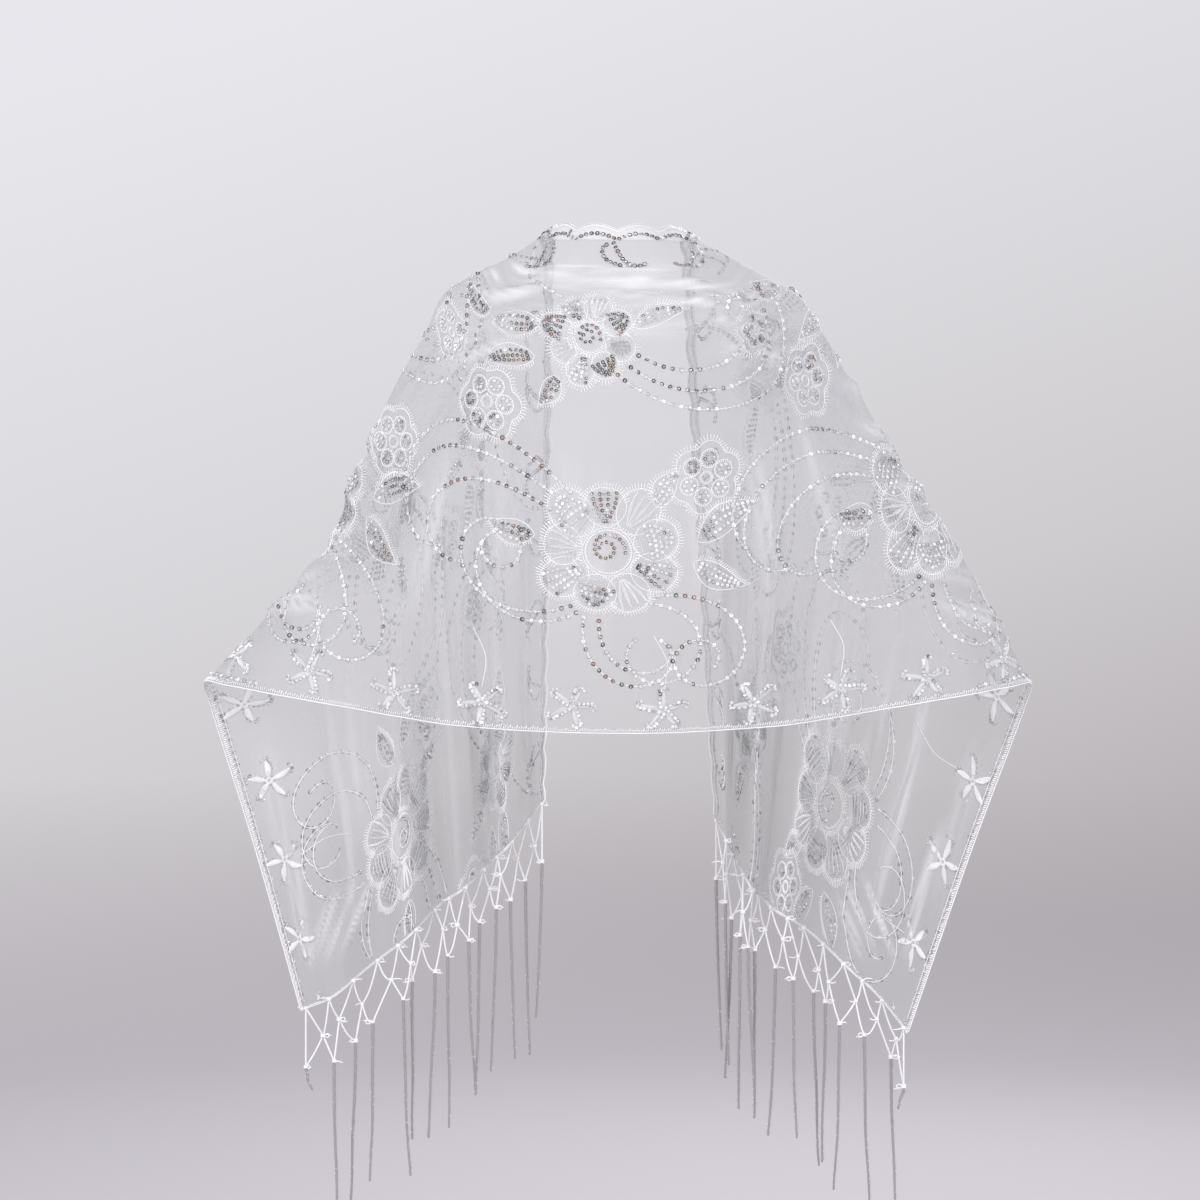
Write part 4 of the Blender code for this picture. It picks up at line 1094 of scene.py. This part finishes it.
for side, label in ((-1, "left"), (1, "right")):
    chance = random.Random(41 + side)
    wobble = lambda reach: np.array([chance.uniform(-reach, reach) for _ in range(3)])
    count = fringe["roots"]
    w = np.linspace(fringe["inset"], cloth["width"] - fringe["inset"], count)
    roots = onCloth(np.c_[np.full(count, side * (half - 0.001)), w])
    fall = np.array((0.0, 0.0, -fringe["drop"]))
    lower = lambda row: [(a + b) / 2 + fall + wobble(fringe["jitter"]) for a, b in zip(row, row[1:])]
    first = np.array(lower(roots))
    second = np.array([roots[0] + fall * 2] + lower(first) + [roots[-1] + fall * 2])
    legs = []
    for i, knot in enumerate(first):
        for far in (roots[i], roots[i + 1], second[i], second[i + 1]):
            leg = slack(far, knot, chance.uniform(*fringe["slack"]))
            legs += twisted(leg, netCord, phase=chance.uniform(0.0, 6.0))
    for end in (0, -1):
        legs += twisted(slack(roots[end], second[end], 0.001), netCord)
    knots = np.vstack([roots, first, second])
    for knot in knots:  # little loops and stray ends
        aim = np.array((chance.choice((-1.0, 1.0)), chance.uniform(-0.3, 0.3), chance.uniform(-0.25, 0.15)))
        aim = aim * chance.uniform(*fringe["strayEnd"])
        stray = slack(knot, knot + aim, chance.uniform(-0.002, 0.002), 6)
        legs.append(np.c_[stray, np.linspace(1.3, 0.8, 6)])
        if chance.random() < 0.5:
            t = np.linspace(0.0, math.pi, 9)[:, None]
            loop = knot + np.array((aim[0], 0.0, 0.0)) * np.sin(t) * 0.7
            loop = loop + np.array((0.0, 0.0, 0.0022)) * np.sin(2 * t)
            legs.append(np.c_[loop, np.ones(9)])
    strands, hairEnds, fleckEnds = [], [], []
    for i, knot in enumerate(second):
        length = fringe["strand"] * (1.0 + fringe["uneven"] * math.sin(2.4 * i + side))
        if i == count - 1:
            length = fringe["corner"]
        lean = np.array((math.sin(1.7 * i + side), math.cos(2.3 * i), 0.0)) * fringe["lean"]
        t = np.linspace(0.0, 1.0, 40)[:, None]
        wave = np.array((0.0011 * math.sin(3.0 * i), 0.0009 * math.cos(5.0 * i), 0.0))
        wave = wave * np.sin(t * (7.0 + i % 3))
        spine = knot + np.array((0.0, 0.0, -length)) * t + lean * t ** 1.5 + wave * t
        strands += twisted(spine, strandCord, phase=1.3 * i, tip=fringe["tip"])
        for _ in range(int(fringe["hairs"] * length / fringe["strand"])):
            at = spine[int(chance.uniform(2, 39))]
            at = at + np.array((0.0, 0.0, chance.uniform(-0.5, 0.5) * length / 40))
            angle = chance.uniform(0.0, 2 * math.pi)
            out = np.array((math.cos(angle), math.sin(angle), chance.uniform(-1.1, -0.2)))
            hairEnds.append((at + out * 0.0008, at + out * chance.uniform(*fringe["hairLength"])))
        for _ in range(fringe["flecks"]):
            at = spine[int(chance.uniform(3, 39))] + np.array((0.0012 * chance.choice((-1, 1)), -0.0012, 0.0))
            fleckEnds.append((at, at + np.array((chance.uniform(-0.001, 0.001), 0.0, -0.0022))))
    net = threadPiece(label + "FringeNet", legs, netCord["radius"], threadFinish, "stitching")
    threadPiece(label + "Strands", strands, strandCord["radius"], cordFinish, "fringe_cord")
    for kind, ends, width, finish, slot in (
            ("Fuzz", hairEnds, fringe["hairWidth"], cordFinish, "fringe_cord"),
            ("Flecks", fleckEnds, fringe["fleckWidth"], threadFinish, "stitching")):
        ends = np.array(ends)
        sideways = np.tile((0.0, -1.0, 0.2), (len(ends), 1))
        widths = np.full(len(ends), width)
        spindles(label + kind, ends[:, 0], ends[:, 1], widths, sideways, finish, slot, rings=2)
    tight = np.eye(3) * fringe["knotRing"]
    sizes = np.array([tight * chance.uniform(0.85, 1.2) for _ in knots])
    manyCopies(label + "Knots", knotTemplate(), knots, sizes, threadFinish, "stitching")
    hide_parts(label + "_fringe")
print("fringe knotted")

# Floor, light and camera
studio = {"floorColour": (0.53, 0.50, 0.52), "radius": 5.2,
          "wallLightGradient": ((0.0, (0.43, 0.40, 0.415)), (0.33, (0.62, 0.60, 0.62)), (0.66, (0.72, 0.715, 0.745)),
                        (1.0, (0.807, 0.80, 0.845))),
          "floor": -1.42, "bend": 1.6, "height": 5.5, "aim": -0.35, "world": (0.92, 0.93, 1.0, 1.0),
          "worldStrength": 0.68}
bm = bmesh.new()
radius, floor, bend = studio["radius"], studio["floor"], studio["bend"]
profile = [(0.0, floor), (2.0, floor), (radius - bend, floor)]
for k in range(1, 13):
    a = math.pi / 2 * k / 12
    profile.append((radius - bend + math.sin(a) * bend, floor + (1 - math.cos(a)) * bend))
profile.append((radius, floor + studio["height"]))
line = [bm.verts.new((x, 0.0, z)) for x, z in profile]
edges = [bm.edges.new(pair) for pair in zip(line, line[1:])]
bmesh.ops.spin(bm, geom=line + edges, cent=(0, 0, 0), axis=(0, 0, 1), angle=2 * math.pi, steps=96,
               use_merge=True)
bmesh.ops.remove_doubles(bm, verts=bm.verts, dist=0.0001)
bmesh.ops.recalc_face_normals(bm, faces=bm.faces)
mesh = bpy.data.meshes.new("studioSweep")
bm.to_mesh(mesh)
bm.free()
sweep = bpy.data.objects.new("studioSweep", mesh)
bpy.context.scene.collection.objects.link(sweep)
wallFinish, nodes, join, shader = newMaterial("paleSweep", studio["floorColour"], 0.9)
place = addNode(nodes, "ShaderNodeTexCoord")
split = addNode(nodes, "ShaderNodeSeparateXYZ")
join(place, "Object", split, "Vector")
lean = addNode(nodes, "ShaderNodeMath", operation="MULTIPLY_ADD")  # painted light: brighter up and to the left
lean.inputs[1].default_value = -0.35
join(split, "X", lean, 0)
join(split, "Z", lean, 2)
fade = addNode(nodes, "ShaderNodeMapRange", From_Min=-1.8, From_Max=1.7)
join(lean, 0, fade, "Value")
tone = colourRamp(nodes, studio["wallLightGradient"])
join(fade, "Result", tone, "Fac")
# the wall above the floor glows with this painted light gradient; only the floor takes the lamps' light
glow = addNode(nodes, "ShaderNodeEmission")
join(tone, "Color", glow, "Color")
height = addNode(nodes, "ShaderNodeMapRange", From_Min=floor + 0.02, From_Max=floor + 0.6)
join(split, "Z", height, "Value")
blend = addNode(nodes, "ShaderNodeMixShader")
join(height, "Result", blend, "Fac")
join(shader, "BSDF", blend, 1)
join(glow, "Emission", blend, 2)
join(blend, "Shader", nodes["Material Output"], "Surface")
wallFinish.cycles.emission_sampling = "NONE"
mesh.materials.append(wallFinish)
mesh.polygons.foreach_set("use_smooth", [True] * len(mesh.polygons))

# Lamps: name, place, size, power, colour
lights = (
    ("key", (-1.9, -2.6, 0.9), 1.8, 64.0, (1.0, 0.99, 0.975)),
    ("fill", (2.9, -1.9, -0.4), 1.8, 44.0, (0.95, 0.97, 1.0)),
    ("back", (0.9, 2.8, 1.4), 1.6, 60.0, (0.96, 0.97, 1.0)),
    ("low", (0.0, -2.4, -0.72), 1.0, 7.0, (1.0, 0.99, 1.0)),
)
for name, place, size, power, colour in lights:
    lamp = bpy.data.lights.new(name, "AREA")
    lamp.shape = "SQUARE"
    lamp.size = size
    lamp.energy = power
    lamp.color = colour
    holder = bpy.data.objects.new(name, lamp)
    holder.location = place
    gaze = Vector((0.0, 0.0, studio["aim"])) - Vector(place)
    holder.rotation_euler = gaze.to_track_quat("-Z", "Y").to_euler()
    holder.visible_camera = False
    bpy.context.scene.collection.objects.link(holder)

world = bpy.data.worlds.new("studioWorld")
world.use_nodes = True
sky = world.node_tree.nodes["Background"]
sky.inputs["Color"].default_value = studio["world"]
sky.inputs["Strength"].default_value = studio["worldStrength"]
scene = bpy.context.scene
scene.world = world
scene.view_settings.view_transform = "Standard"
scene.cycles.transparent_max_bounces = 32
scene.cycles.max_bounces = 4
scene.cycles.diffuse_bounces = 1

view = {"place": (-0.0187, -3.2, -0.341), "acrossAtShawl": 1.32}
camera = bpy.data.cameras.new("camera")
camera.sensor_width = 36.0
camera.lens = 36.0 * -view["place"][1] / view["acrossAtShawl"]
cameraHolder = bpy.data.objects.new("camera", camera)
cameraHolder.location = view["place"]
cameraHolder.rotation_euler = (math.pi / 2, 0.0, 0.0)
scene.collection.objects.link(cameraHolder)
scene.camera = cameraHolder

bpy.context.view_layer.update()
